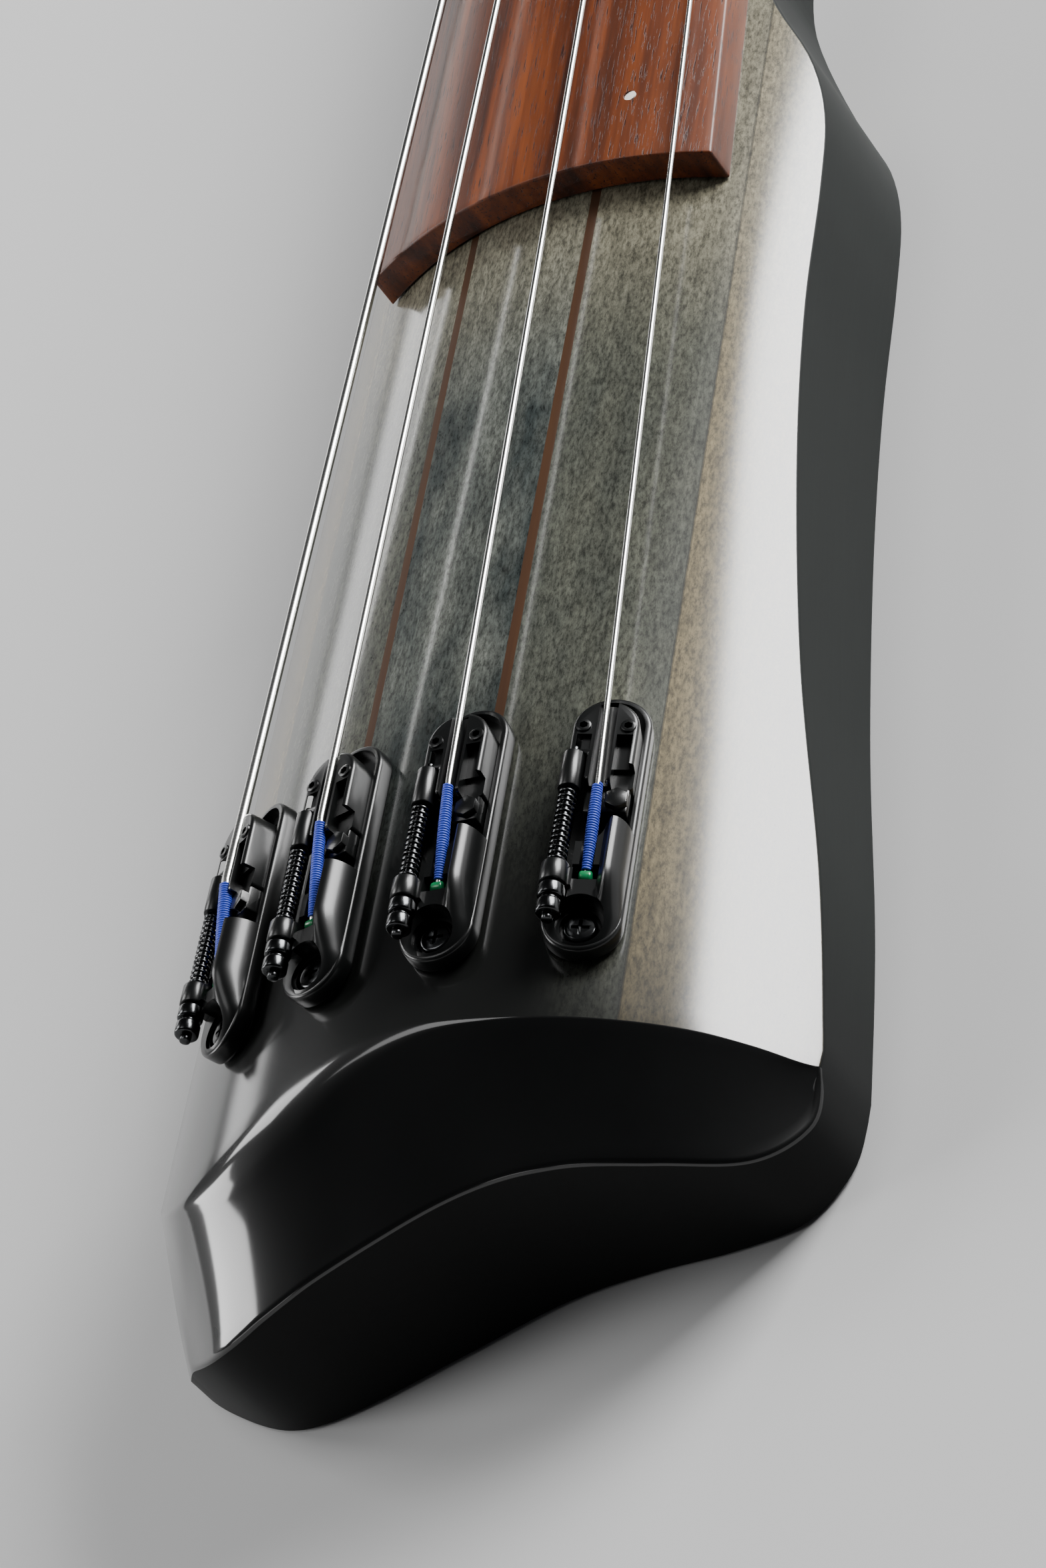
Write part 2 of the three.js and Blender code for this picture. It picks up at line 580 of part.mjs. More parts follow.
// Electronics
function addElectronics() {
  const { z, potY, jackY, wall } = controls;
  let lid = block(-cover.x, cover.x, cover.y0, cover.y1, cover.z0, cover.z1);
  for (const [x, y] of coverScrewPlaces()) lid = lid.subtract(rod(vec(x, y, -1), vec(x, y, 5), 1.35, 12));
  for (const [x, y] of coverScrewPlaces()) {
    lid = lid.subtract(rod(vec(x, y, 0), vec(x, y, 1.2 + gap), 2.5, 12));
  }
  addPiece('cavity_cover', lid, plastic);
  coverScrewPlaces().forEach(([x, y], i) => {
    const head = rod(vec(x, y, 0.3), vec(x, y, 1.2), 2.2, 16);
    const screw = rod(vec(x, y, 0.9), vec(x, y, 10.3), 1.05, 12).add(head);
    addPiece(`cover_screw_${i + 1}`, screw, blackSteel);
  });
  addPiece('battery', block(-24.2, 24.2, 63, 89.4, 2.8, 20), batteryGrey);
  const chip = block(0, 12, 98, 106, 11, 15.2);
  const socket = block(14, 20, 112, 120, 12.4, 15.2);
  const board = block(-7, 24, 92.5, 126, 15, 16.6).add(chip).add(socket);
  addPiece('preamp_board', board, boardGreen);
  const axisRod = (x0, x1, y, r, sides) => rod(vec(x0, y, z), vec(x1, y, z), r, sides);
  const pot = axisRod(-24.6, -15, potY, 8, 24).add(axisRod(-40.9, -24, potY, 3.6, 16));
  addPiece('volume_pot', pot.subtract(axisRod(-60, -16, potY, 3.3, 16)), steel);
  const knobEnd = wall - 4.4; // low enough to stay under the edge of the arch
  const knob = axisRod(knobEnd, wall + 0.2, potY, 6, 24).add(axisRod(wall, -18, potY, 3, 16));
  const pointer = block(knobEnd - 1, knobEnd + 0.6, potY - 0.5, potY + 0.5, z + 1.5, z + 9);
  addPiece('volume_knob', knob.subtract(pointer), blackAlloy);
  const jack = axisRod(wall - 1.6, wall + 0.9, jackY, 7, 24).add(axisRod(wall, -18, jackY, 5, 20));
  addPiece('output_jack', jack.subtract(axisRod(-60, -20, jackY, 3.2, 16)), blackSteel);
}

// Body laminations, split from one blank by upright glue planes
function addBody() {
  let blank = bodyBlank();
  for (const opening of bodyOpenings()) blank = blank.subtract(opening);
  const inner = stripCentre - stripThickness / 2;
  const outer = stripCentre + stripThickness / 2;
  const slice = (x0, x1) => blank.intersect(block(x0, x1, -90, 200, -5, 60));
  addPiece('body_core', slice(-inner, inner), maple);
  addPiece('accent_strip_left', slice(-outer, -inner), wenge);
  addPiece('accent_strip_right', slice(inner, outer), wenge);
  addPiece('inner_block_left', slice(-wingLine, -outer), maple);
  addPiece('inner_block_right', slice(outer, wingLine), maple);
  addPiece('wing_left', slice(-70, -wingLine), darkMaple);
  addPiece('wing_right', slice(wingLine, 70), darkMaple);
}

const dotPlace = { x: 17.6, y: 137.8, radius: 1, depth: 1.6 };

function addNeck() {
  const top = boardTop(dotPlace.y);
  const z = top.crest - top.radius + Math.sqrt(top.radius ** 2 - dotPlace.x ** 2);
  const dotPoint = (height) => vec(dotPlace.x, dotPlace.y, z + height);
  const dotHole = rod(dotPoint(-dotPlace.depth - gap), dotPoint(5), dotPlace.radius + 0.1, 16);
  addPiece('neck', neckSolid(), darkMaple);
  addPiece('truss_rod', trussRodBlock(0), steel);
  addPiece('fingerboard', fingerboard().subtract(dotHole), padauk);
  addPiece('position_dot', rod(dotPoint(-dotPlace.depth), dotPoint(-0.1), dotPlace.radius, 16), pearl);
  addPiece('nut', nutSolid(), bone);
}

addBody();
addNeck();
addBridgeUnits();
addStrings();
for (const n of [1, 2, 3, 4]) tunerPieces(n);
addElectronics();

export default cello;
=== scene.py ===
import math

import bpy
import numpy as np
from mathutils import Matrix, Vector


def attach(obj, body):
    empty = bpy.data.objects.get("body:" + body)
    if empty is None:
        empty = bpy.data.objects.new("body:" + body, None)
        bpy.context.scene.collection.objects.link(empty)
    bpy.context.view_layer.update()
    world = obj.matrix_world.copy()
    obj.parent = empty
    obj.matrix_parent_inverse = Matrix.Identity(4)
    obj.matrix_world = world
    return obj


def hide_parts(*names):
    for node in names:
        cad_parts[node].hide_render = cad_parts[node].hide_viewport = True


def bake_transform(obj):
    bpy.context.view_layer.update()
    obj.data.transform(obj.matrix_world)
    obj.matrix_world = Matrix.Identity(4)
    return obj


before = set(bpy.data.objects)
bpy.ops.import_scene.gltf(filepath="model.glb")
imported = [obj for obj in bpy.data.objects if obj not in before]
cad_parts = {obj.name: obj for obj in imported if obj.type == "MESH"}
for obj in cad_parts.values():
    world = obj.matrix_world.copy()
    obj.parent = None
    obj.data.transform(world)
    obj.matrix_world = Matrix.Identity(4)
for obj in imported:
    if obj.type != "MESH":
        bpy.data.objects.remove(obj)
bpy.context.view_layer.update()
mm = 0.001

# the camera looks down on the tail from the treble side, rolled a little to the right
cameraSet = {
    "at": (291.3, -364.9, 379.0),
    "right": (0.83842, 0.13594, -0.52780),
    "up": (0.25770, 0.75443, 0.60368),
    "lens": 98.0,
    "film": 36.0,
}
cameraData = bpy.data.cameras.new("camera")
cameraData.sensor_fit = "VERTICAL"
cameraData.sensor_height = cameraSet["film"]
cameraData.lens = cameraSet["lens"]
camera = bpy.data.objects.new("camera", cameraData)
bpy.context.scene.collection.objects.link(camera)
right, up = Vector(cameraSet["right"]), Vector(cameraSet["up"])
turn = Matrix((right, up, right.cross(up))).transposed().to_4x4()
camera.matrix_world = Matrix.Translation(Vector(cameraSet["at"]) * mm) @ turn
bpy.context.scene.camera = camera
print("camera placed")


def hexColour(text):
    parts = [int(text[i : i + 2], 16) / 255 for i in (0, 2, 4)]
    return [c / 12.92 if c <= 0.04045 else ((c + 0.055) / 1.055) ** 2.4 for c in parts] + [1.0]


def addNode(tree, kind, inputs=None, **settings):
    node = tree.nodes.new("ShaderNode" + kind)
    for name, value in settings.items():
        setattr(node, name, value)
    for name, value in (inputs or {}).items():
        if isinstance(value, bpy.types.NodeSocket):
            tree.links.new(value, node.inputs[name])
        else:
            node.inputs[name].default_value = value
    return node


def newMaterial(name, **settings):
    material = bpy.data.materials.new(name)
    material.use_nodes = True
    shader = material.node_tree.nodes["Principled BSDF"]
    for key, value in settings.items():
        shader.inputs[key.replace("_", " ")].default_value = value
    return material, material.node_tree, shader


def setRamp(node, stops):
    ramp = node.color_ramp
    while len(ramp.elements) < len(stops):
        ramp.elements.new(0.5)
    for element, (place, colour) in zip(ramp.elements, stops):
        element.position = place
        element.color = colour if isinstance(colour, list) else (colour, colour, colour, 1)
    return node


def mixColours(tree, amount, first, second, blend="MIX"):
    node = addNode(tree, "Mix", data_type="RGBA", blend_type=blend)
    for socket, value in ((node.inputs[0], amount), (node.inputs[6], first), (node.inputs[7], second)):
        if isinstance(value, bpy.types.NodeSocket):
            tree.links.new(value, socket)
        else:
            socket.default_value = value
    return node.outputs[2]


def deselect():
    if bpy.context.object and bpy.context.object.mode != "OBJECT":
        bpy.ops.object.mode_set(mode="OBJECT")
    bpy.ops.object.select_all(action="DESELECT")


def makeActive(piece):
    deselect()
    piece.select_set(True)
    bpy.context.view_layer.objects.active = piece


def named(name):
    piece = bpy.context.object
    piece.name = piece.data.name = name
    piece.data.transform(piece.matrix_world)
    piece.matrix_world = Matrix.Identity(4)
    return piece


def addBox(name, x0, x1, y0, y1, z0, z1):
    deselect()
    middle = ((x0 + x1) / 2 * mm, (y0 + y1) / 2 * mm, (z0 + z1) / 2 * mm)
    size = ((x1 - x0) * mm, (y1 - y0) * mm, (z1 - z0) * mm)
    bpy.ops.mesh.primitive_cube_add(size=1, location=middle, scale=size)
    bpy.context.view_layer.update()
    return named(name)


def addRod(name, start, end, radius, sides=32):
    deselect()
    a, b = Vector(start) * mm, Vector(end) * mm
    bpy.ops.mesh.primitive_cone_add(
        vertices=sides,
        radius1=radius * mm,
        radius2=radius * mm,
        depth=(b - a).length,
        location=(a + b) / 2,
        rotation=(b - a).to_track_quat("Z", "Y").to_euler(),
    )
    bpy.context.view_layer.update()
    return named(name)


def addBall(name, centre, radius, segments=24):
    deselect()
    bpy.ops.mesh.primitive_uv_sphere_add(
        segments=segments, ring_count=segments // 2, radius=radius * mm, location=Vector(centre) * mm
    )
    bpy.context.view_layer.update()
    return named(name)


# a drum whose far half is moved along Y, so it becomes a long slab with round ends
def addStadium(name, half, y0, y1, z0, z1, sides=48):
    piece = addRod(name, (0, y0 + half, z0), (0, y0 + half, z1), half, sides)
    piece.data.transform(Matrix.Translation((0, -(y0 + half) * mm, 0)))
    piece.data.transform(Matrix.Rotation(math.pi / sides, 4, "Z"))
    for v in piece.data.vertices:
        v.co.y += ((y1 - half) if v.co.y > 0 else (y0 + half)) * mm
    return piece


def applyModifier(piece, kind, **settings):
    makeActive(piece)
    modifier = piece.modifiers.new("step", kind)
    for name, value in settings.items():
        setattr(modifier, name, value)
    bpy.ops.object.modifier_apply(modifier="step")
    return piece


def combine(piece, *others, how="DIFFERENCE"):
    for other in others:
        applyModifier(piece, "BOOLEAN", operation=how, object=other, solver="EXACT")
        bpy.data.objects.remove(other)
    return piece


def cut(piece, *others):
    return combine(piece, *others)


def weld(piece, *others):
    return combine(piece, *others, how="UNION")


def roundEdges(piece, width, segments=3, angle=35):
    settings = {"width": width * mm, "segments": segments, "angle_limit": math.radians(angle)}
    return applyModifier(piece, "BEVEL", limit_method="ANGLE", harden_normals=False, **settings)


def smooth(piece, angle=35):
    makeActive(piece)
    bpy.ops.object.shade_smooth_by_angle(angle=math.radians(angle))
    return piece


def cleaned(piece, distance=0.004):
    makeActive(piece)
    bpy.ops.object.mode_set(mode="EDIT")
    bpy.ops.mesh.select_all(action="SELECT")
    bpy.ops.mesh.remove_doubles(threshold=distance * mm)
    bpy.ops.mesh.dissolve_degenerate(threshold=distance * 0.2 * mm)
    bpy.ops.mesh.normals_make_consistent(inside=False)
    bpy.ops.object.mode_set(mode="OBJECT")
    return piece


# welds the points that meet and puts a face over each open rim
def closeOpenings(piece, distance):
    makeActive(piece)
    bpy.ops.object.mode_set(mode="EDIT")
    bpy.ops.mesh.select_all(action="SELECT")
    bpy.ops.mesh.remove_doubles(threshold=distance * mm)
    bpy.ops.mesh.select_all(action="DESELECT")
    rims = {"use_wire": False, "use_multi_face": False, "use_non_contiguous": False, "use_verts": False}
    bpy.ops.mesh.select_non_manifold(extend=False, use_boundary=True, **rims)
    bpy.ops.mesh.edge_face_add()
    bpy.ops.mesh.select_all(action="SELECT")
    bpy.ops.mesh.normals_make_consistent(inside=False)
    bpy.ops.object.mode_set(mode="OBJECT")


def paint(piece, *materials):
    piece.data.materials.clear()
    for material in materials:
        piece.data.materials.append(material)
    return piece


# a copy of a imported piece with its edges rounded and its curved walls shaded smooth
def refined(node, material, body, slot, bevel=0.25, angle=35, segments=2):
    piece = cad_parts[node].copy()
    piece.data = piece.data.copy()
    for key in list(piece.keys()):
        del piece[key]
    piece.parent = None
    piece.name = piece.data.name = node + "_shown"
    bpy.context.scene.collection.objects.link(piece)
    makeActive(piece)
    bpy.ops.object.mode_set(mode="EDIT")
    bpy.ops.mesh.select_all(action="SELECT")
    bpy.ops.mesh.remove_doubles(threshold=0.001 * mm)
    bpy.ops.mesh.dissolve_limited(angle_limit=math.radians(1))
    bpy.ops.object.mode_set(mode="OBJECT")
    if bevel:
        roundEdges(piece, bevel, segments, angle)
    smooth(piece, angle)
    paint(piece, material)
    return show(piece, body, slot, node)


def show(piece, body, slot, *nodes):
    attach(piece, body)
    if nodes:
        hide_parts(*nodes)
    return piece


# a round bar along a line of points, made from a path with a bevel and turned into a mesh
def tube(name, points, radius, sides=12):
    deselect()
    bpy.ops.curve.primitive_nurbs_path_add()
    line = bpy.context.object
    curve = line.data
    curve.splines.clear()
    spline = curve.splines.new("POLY")
    spline.points.add(len(points) - 1)
    for point, place in zip(spline.points, points):
        point.co = (place[0] * mm, place[1] * mm, place[2] * mm, 1)
    curve.dimensions = "3D"
    curve.bevel_depth = radius * mm
    curve.bevel_resolution = max(1, sides // 4 - 1)
    curve.use_fill_caps = True
    curve.twist_mode = "MINIMUM"
    makeActive(line)
    bpy.ops.object.convert(target="MESH")
    return cleaned(named(name))


def splineThrough(points, count):
    points = np.array(points, float)
    last = len(points) - 1
    t = np.linspace(0, last, count)
    i = np.minimum(t.astype(int), last - 1)
    w = (t - i)[:, None]
    a, b, c = points[np.maximum(i - 1, 0)], points[i], points[i + 1]
    d = points[np.minimum(i + 2, last)]
    return b + 0.5 * w * (c - a + w * (2 * a - 5 * b + 4 * c - d + w * (3 * (b - c) + d - a)))


# a grid whose points are laid out on places[row, column], and the row and column of each face
def placedGrid(name, places):
    rows, columns = places.shape[:2]
    deselect()
    bpy.ops.mesh.primitive_grid_add(x_subdivisions=columns - 1, y_subdivisions=rows - 1, size=1)
    piece = named(name)
    co = np.zeros(len(piece.data.vertices) * 3)
    piece.data.vertices.foreach_get("co", co)
    co = co.reshape(-1, 3)
    column = np.rint((co[:, 0] + 0.5) * (columns - 1)).astype(int)
    row = np.rint((co[:, 1] + 0.5) * (rows - 1)).astype(int)
    piece.data.vertices.foreach_set("co", (places[row, column] * mm).ravel())
    faces = [list(f.vertices) for f in piece.data.polygons]
    cells = [(min(row[v] for v in f), min(column[v] for v in f)) for f in faces]
    return piece, cells


body = {
    "archRadius": 66.0,
    "crest": 39.2,
    "end": 186.0,
    "stripCentre": 11.1,
    "stripWidth": 1.5,
    "wingLine": 33.0,
    "side": [
        (29.3, 186), (29.9, 177), (33.5, 165), (38.8, 153.5), (41.6, 141), (42.3, 124), (42.4, 97),
        (43.8, 66), (46.8, 28.6), (50.8, -5.6), (52.7, -30),
    ],
    "tail": [
        (52.9, -38), (51.2, -46), (45, -52), (34.6, -53.8), (22, -54.1), (9.4, -55.6), (-5.5, -60.3),
        (-22, -65.4), (-32.3, -66.3), (-42.2, -62), (-50, -56), (-53.3, -48.5), (-53.2, -40),
    ],
    # the facet's start on the arch, its end on the outline, its drop there
    "facet": [
        (54.5, -37.5, 54.6, -38.5, 0.2), (51.5, -38.4, 53.6, -43.5, 2.6), (47, -38, 49.5, -49.5, 5.2),
        (41, -37.6, 42, -53.2, 7.6), (32, -37.5, 32, -54.6, 9.2), (20, -37.4, 20, -55, 11),
        (8, -37.6, 8.4, -56.6, 12.8), (-1, -39.6, -6, -61.2, 13.4), (-10, -43.6, -16, -64.8, 13.2),
        (-18, -46.8, -24.5, -66.8, 12.8), (-26, -48.8, -33, -67.4, 12.7), (-34, -48.6, -43.2, -63, 12.6),
        (-41.5, -45, -51.4, -56.6, 10.9), (-48, -38.5, -54.9, -49.5, 7.6), (-54.5, -30, -55.4, -38, 1.8),
    ],
    "columns": 170,
    "archRows": 84,
    "facetRows": 12,
    "edgeSteps": 8,
    "sideRound": 0.9,
    "tailRound": 1.3,
    "bassRound": 9.0,
    "lipSharp": 0.6,
    "lipSoft": 16.0,
    "relax": 600,
    "melt": 70,
}
archCentre = body["crest"] - body["archRadius"]


def archHeight(x):
    return archCentre + np.sqrt(body["archRadius"] ** 2 - np.square(x))


sideLine = splineThrough(body["side"] + body["tail"][:2], 400)


def halfWidthAt(y):
    return np.interp(y, sideLine[::-1, 1], sideLine[::-1, 0])


def bodyOutline(count):
    bass = [(-x, y) for x, y in reversed(body["side"])]
    return splineThrough(body["side"] + body["tail"] + bass, count)


def objectAxes(tree):
    place = addNode(tree, "TexCoord").outputs["Object"]
    return place, addNode(tree, "SeparateXYZ", {"Vector": place})


def calc(tree, operation, a, b=0.0):
    return addNode(tree, "Math", {0: a, 1: b}, operation=operation).outputs[0]


# noise with its own size in millimetres along X, Y and Z
def scaledNoise(tree, place, scale, detail=4.0, roughness=0.55):
    size = addNode(tree, "Mapping", {"Vector": place, "Scale": [1 / (s * mm) for s in scale]})
    inputs = {"Vector": size.outputs[0], "Scale": 1.0, "Detail": detail, "Roughness": roughness}
    return addNode(tree, "TexNoise", inputs).outputs["Fac"]


def bumpFrom(tree, shader, height, distance, strength=1.0):
    inputs = {"Height": height, "Distance": distance * mm, "Strength": strength}
    bump = addNode(tree, "Bump", inputs)
    tree.links.new(bump.outputs[0], shader.inputs["Normal"])
    return bump


def ramped(tree, value, stops):
    return setRamp(addNode(tree, "ValToRGB", {"Fac": value}), stops).outputs[0]


# 0 to 1, or to another pair of values, over a stretch of a coordinate in metres
def eased(tree, value, start, end, low=0.0, high=1.0, kind="SMOOTHSTEP"):
    inputs = {"Value": value, "From Min": start, "From Max": end, "To Min": low, "To Max": high}
    return addNode(tree, "MapRange", inputs, interpolation_type=kind).outputs[0]


def setBase(tree, shader, colour):
    tree.links.new(colour, shader.inputs["Base Color"])


# hard maple, stained charcoal and clear coated: mottled grain under a deep, smooth gloss
def glossedMaple():
    look = {
        "core": "2e3433",
        "coreLight": "5e615b",
        "inner": "5d5d51",
        "wing": "6e6349",
        "strip": "47301f",
        "boardSide": "857f6b",
        "glueLine": "1c1c18",
        "dark": "0a0b0a",
    }
    finish = {"Roughness": 0.5, "Coat_Weight": 1.0, "Coat_Roughness": 0.15}
    material, tree, shader = newMaterial("glossed stained maple", **finish)
    shader.inputs["Specular IOR Level"].default_value = 0.05
    place, axes = objectAxes(tree)
    x, y = axes.outputs["X"], axes.outputs["Y"]
    out = calc(tree, "ABSOLUTE", x)
    broad = scaledNoise(tree, place, (8, 24, 30), 3)
    fine = scaledNoise(tree, place, (0.5, 1.5, 1.0), 7, 0.82)
    fleck = scaledNoise(tree, place, (0.9, 3.4, 2.0), 4, 0.6)
    streak = scaledNoise(tree, place, (1.2, 45, 8), 4, 0.6)
    cloud = ramped(tree, broad, [(0.35, 0.0), (0.65, 1.0)])
    coreTone = mixColours(tree, cloud, hexColour(look["core"]), hexColour(look["coreLight"]))
    beyondStrip = calc(tree, "GREATER_THAN", out, body["stripCentre"] * mm)
    beyondWing = calc(tree, "GREATER_THAN", out, body["wingLine"] * mm)
    innerTone = mixColours(tree, broad, hexColour(look["core"]), hexColour(look["inner"]))
    wood = mixColours(tree, beyondStrip, coreTone, innerTone)
    wood = mixColours(tree, beyondWing, wood, hexColour(look["wing"]))
    # the top is lighter by the fingerboard
    byBoard = eased(tree, y, 0.08, 0.125, 0.0, 0.6)
    wood = mixColours(tree, byBoard, wood, hexColour(look["boardSide"]))
    speckle = ramped(tree, fine, [(0.4, 0.22), (0.5, 0.8), (0.6, 1.25)])
    wood = mixColours(tree, 0.85, wood, speckle, "MULTIPLY")
    flecks = ramped(tree, fleck, [(0.34, 0.5), (0.5, 1.0), (0.66, 1.3)])
    wood = mixColours(tree, 0.6, wood, flecks, "MULTIPLY")
    streaks = ramped(tree, streak, [(0.3, 0.62), (0.7, 1.15)])
    wood = mixColours(tree, 0.6, wood, streaks, "MULTIPLY")
    # the brown accent strips and the thin dark glue lines of the outer wings
    fromStrip = calc(tree, "ABSOLUTE", calc(tree, "SUBTRACT", out, body["stripCentre"] * mm))
    onStrip = calc(tree, "LESS_THAN", fromStrip, body["stripWidth"] / 2 * mm)
    stripWood = mixColours(tree, streak, hexColour("33231a"), hexColour(look["strip"]))
    wood = mixColours(tree, onStrip, wood, stripWood)
    fromGlue = calc(tree, "ABSOLUTE", calc(tree, "SUBTRACT", out, body["wingLine"] * mm))
    onGlue = calc(tree, "MULTIPLY", calc(tree, "LESS_THAN", fromGlue, 0.16 * mm), 0.6)
    wood = mixColours(tree, onGlue, wood, hexColour(look["glueLine"]))
    # painted shade: the top is darkened towards the tail and the flanks, and on the treble side the
    # darkening starts nearer the tail, where the light falls
    litTrebleShift = eased(tree, x, 0.016, 0.032, 0.0, 0.032)
    along = calc(tree, "ADD", y, litTrebleShift)
    paintedTailShade = eased(tree, along, 0.04, -0.03, kind="SMOOTHERSTEP")
    paintedFlankShade = eased(tree, out, 0.030, 0.050, 0.0, 0.75)
    paintedShade = calc(tree, "MAXIMUM", paintedTailShade, paintedFlankShade)
    wood = mixColours(tree, paintedShade, wood, hexColour(look["dark"]))
    setBase(tree, shader, wood)
    return material


# the same maple with a black stain under the gloss: almost black, mirror smooth
def glossedBlack():
    finish = {"Roughness": 0.4, "Coat_Weight": 1.0, "Coat_Roughness": 0.1}
    material, tree, shader = newMaterial("glossed black stain", **finish)
    shader.inputs["Specular IOR Level"].default_value = 0.1
    place = objectAxes(tree)[0]
    cloud = scaledNoise(tree, place, (6, 6, 6), 3)
    setBase(tree, shader, mixColours(tree, cloud, hexColour("040404"), hexColour("080909")))
    return material


# stained maple rubbed to a satin: dark green-grey with faint lengthwise grain
def satinMaple():
    material, tree, shader = newMaterial("satin stained maple", Roughness=0.45)
    shader.inputs["Specular IOR Level"].default_value = 0.1
    place, axes = objectAxes(tree)
    grain = scaledNoise(tree, place, (2.0, 40, 0.8), 5, 0.65)
    fine = scaledNoise(tree, place, (0.6, 3.0, 0.4), 4, 0.7)
    tone = mixColours(tree, grain, hexColour("0b0e0d"), hexColour("141816"))
    tone = mixColours(tree, 0.25, tone, ramped(tree, fine, [(0.35, 0.5), (0.6, 1.0)]), "MULTIPLY")
    # painted shade: the walls are darkened towards the tail
    paintedTailShade = eased(tree, axes.outputs["Y"], 0.0, -0.05)
    tone = mixColours(tree, paintedTailShade, tone, hexColour("080909"))
    setBase(tree, shader, tone)
    bumpFrom(tree, shader, grain, 0.02, 0.3)
    return material


# padauk, scraped and oiled: red-brown with open dark pores along the neck
def oiledPadauk():
    finish = {"Roughness": 0.45, "Coat_Weight": 0.15, "Coat_Roughness": 0.25}
    material, tree, shader = newMaterial("oiled padauk", **finish)
    shader.inputs["Specular IOR Level"].default_value = 0.25
    place = objectAxes(tree)[0]
    band = scaledNoise(tree, place, (3.5, 90, 9), 4, 0.6)
    pores = scaledNoise(tree, place, (0.32, 5.0, 0.32), 3, 0.6)
    fibre = scaledNoise(tree, place, (0.7, 25, 0.7), 4, 0.6)
    browns = [(0.3, hexColour("2e140a")), (0.5, hexColour("542710")), (0.7, hexColour("753b18"))]
    tone = ramped(tree, band, browns)
    tone = mixColours(tree, 0.5, tone, ramped(tree, fibre, [(0.3, 0.6), (0.7, 1.2)]), "MULTIPLY")
    poreMask = ramped(tree, pores, [(0.36, 1.0), (0.42, 0.0)])
    tone = mixColours(tree, poreMask, tone, hexColour("2a0f08"))
    setBase(tree, shader, tone)
    height = calc(tree, "SUBTRACT", 1.0, addNode(tree, "RGBToBW", {"Color": poreMask}).outputs[0])
    bumpFrom(tree, shader, height, 0.05, 0.5)
    return material


# aluminium, bead blasted fine and anodised black: near black with soft edges to its glints
def blackAnodised():
    finish = {"Roughness": 0.3, "Metallic": 0.0, "Coat_Weight": 0.1, "Coat_Roughness": 0.12}
    material, tree, shader = newMaterial("black anodised aluminium", **finish)
    place = objectAxes(tree)[0]
    grit = scaledNoise(tree, place, (0.25, 0.25, 0.25), 2)
    setBase(tree, shader, mixColours(tree, grit, hexColour("070808"), hexColour("0c0d0d")))
    shader.inputs["Specular IOR Level"].default_value = 0.28
    bumpFrom(tree, shader, grit, 0.01, 0.15)
    return material


# steel, black oxide, oiled: dark with tight bright glints
def blackSteelFinish():
    material, tree, shader = newMaterial("black oxide steel", Roughness=0.2, Metallic=1.0)
    place = objectAxes(tree)[0]
    wear = scaledNoise(tree, place, (0.8, 0.8, 0.8), 3)
    setBase(tree, shader, mixColours(tree, wear, hexColour("2c2d2e"), hexColour("4a4b4c")))
    return material


# steel ribbon wound flat and polished: bright, with fine turns across the string
def woundSteel():
    material, tree, shader = newMaterial("polished wound steel", Roughness=0.24, Metallic=1.0)
    place = objectAxes(tree)[0]
    pitch = 0.6
    inputs = {"Vector": place, "Scale": 1 / (pitch * mm) / 20 * 6.2832, "Distortion": 0.0}
    turns = addNode(tree, "TexWave", inputs, wave_type="BANDS", bands_direction="Y")
    setBase(tree, shader, mixColours(tree, turns.outputs["Fac"], hexColour("b9b9b6"), hexColour("d4d4d1")))
    return material


# silk thread, dyed and wound: saturated blue with a soft sheen
def blueSilk():
    material, tree, shader = newMaterial("wound blue silk", Roughness=0.55)
    place = objectAxes(tree)[0]
    fluff = scaledNoise(tree, place, (0.2, 0.2, 0.2), 3)
    setBase(tree, shader, mixColours(tree, fluff, hexColour("0c2090"), hexColour("2248c4")))
    shader.inputs["Sheen Weight"].default_value = 0.1
    return material


# plain finishes of the small and the hidden pieces, each with a slight cloudiness
def plainFinish(name, dark, light, roughness, metallic=0.0, size=1.5, bump=0.0):
    material, tree, shader = newMaterial(name, Roughness=roughness, Metallic=metallic)
    place = objectAxes(tree)[0]
    cloud = scaledNoise(tree, place, (size, size, size), 3)
    setBase(tree, shader, mixColours(tree, cloud, hexColour(dark), hexColour(light)))
    if bump:
        bumpFrom(tree, shader, cloud, bump, 0.4)
    return material


looks = {
    "maple": glossedMaple(),
    "black": glossedBlack(),
    "satin": satinMaple(),
    "padauk": oiledPadauk(),
    "anodised": blackAnodised(),
    "blackSteel": blackSteelFinish(),
    "string": woundSteel(),
    "silk": blueSilk(),
    "greenBall": plainFinish("green lacquered brass", "0e5a35", "18804b", 0.25, 0.0, 0.5),
    "pearl": plainFinish("polished white acrylic", "d9d6cc", "f0eee6", 0.2, 0.0, 0.6),
    "nut": plainFinish("black moulded nut", "101010", "1c1c1c", 0.35, 0.0, 1.0),
    "steel": plainFinish("bright steel", "8c8c8a", "a8a8a5", 0.3, 1.0, 1.2),
    "plastic": plainFinish("moulded black ABS", "0c0c0d", "161718", 0.5, 0.0, 0.4, 0.02),
    "board": plainFinish("green solder mask", "10502e", "1a6a40", 0.35, 0.0, 3.0),
    "battery": plainFinish("painted battery sleeve", "4c4f52", "63666a", 0.35, 0.2, 6.0),
}
print("materials made")


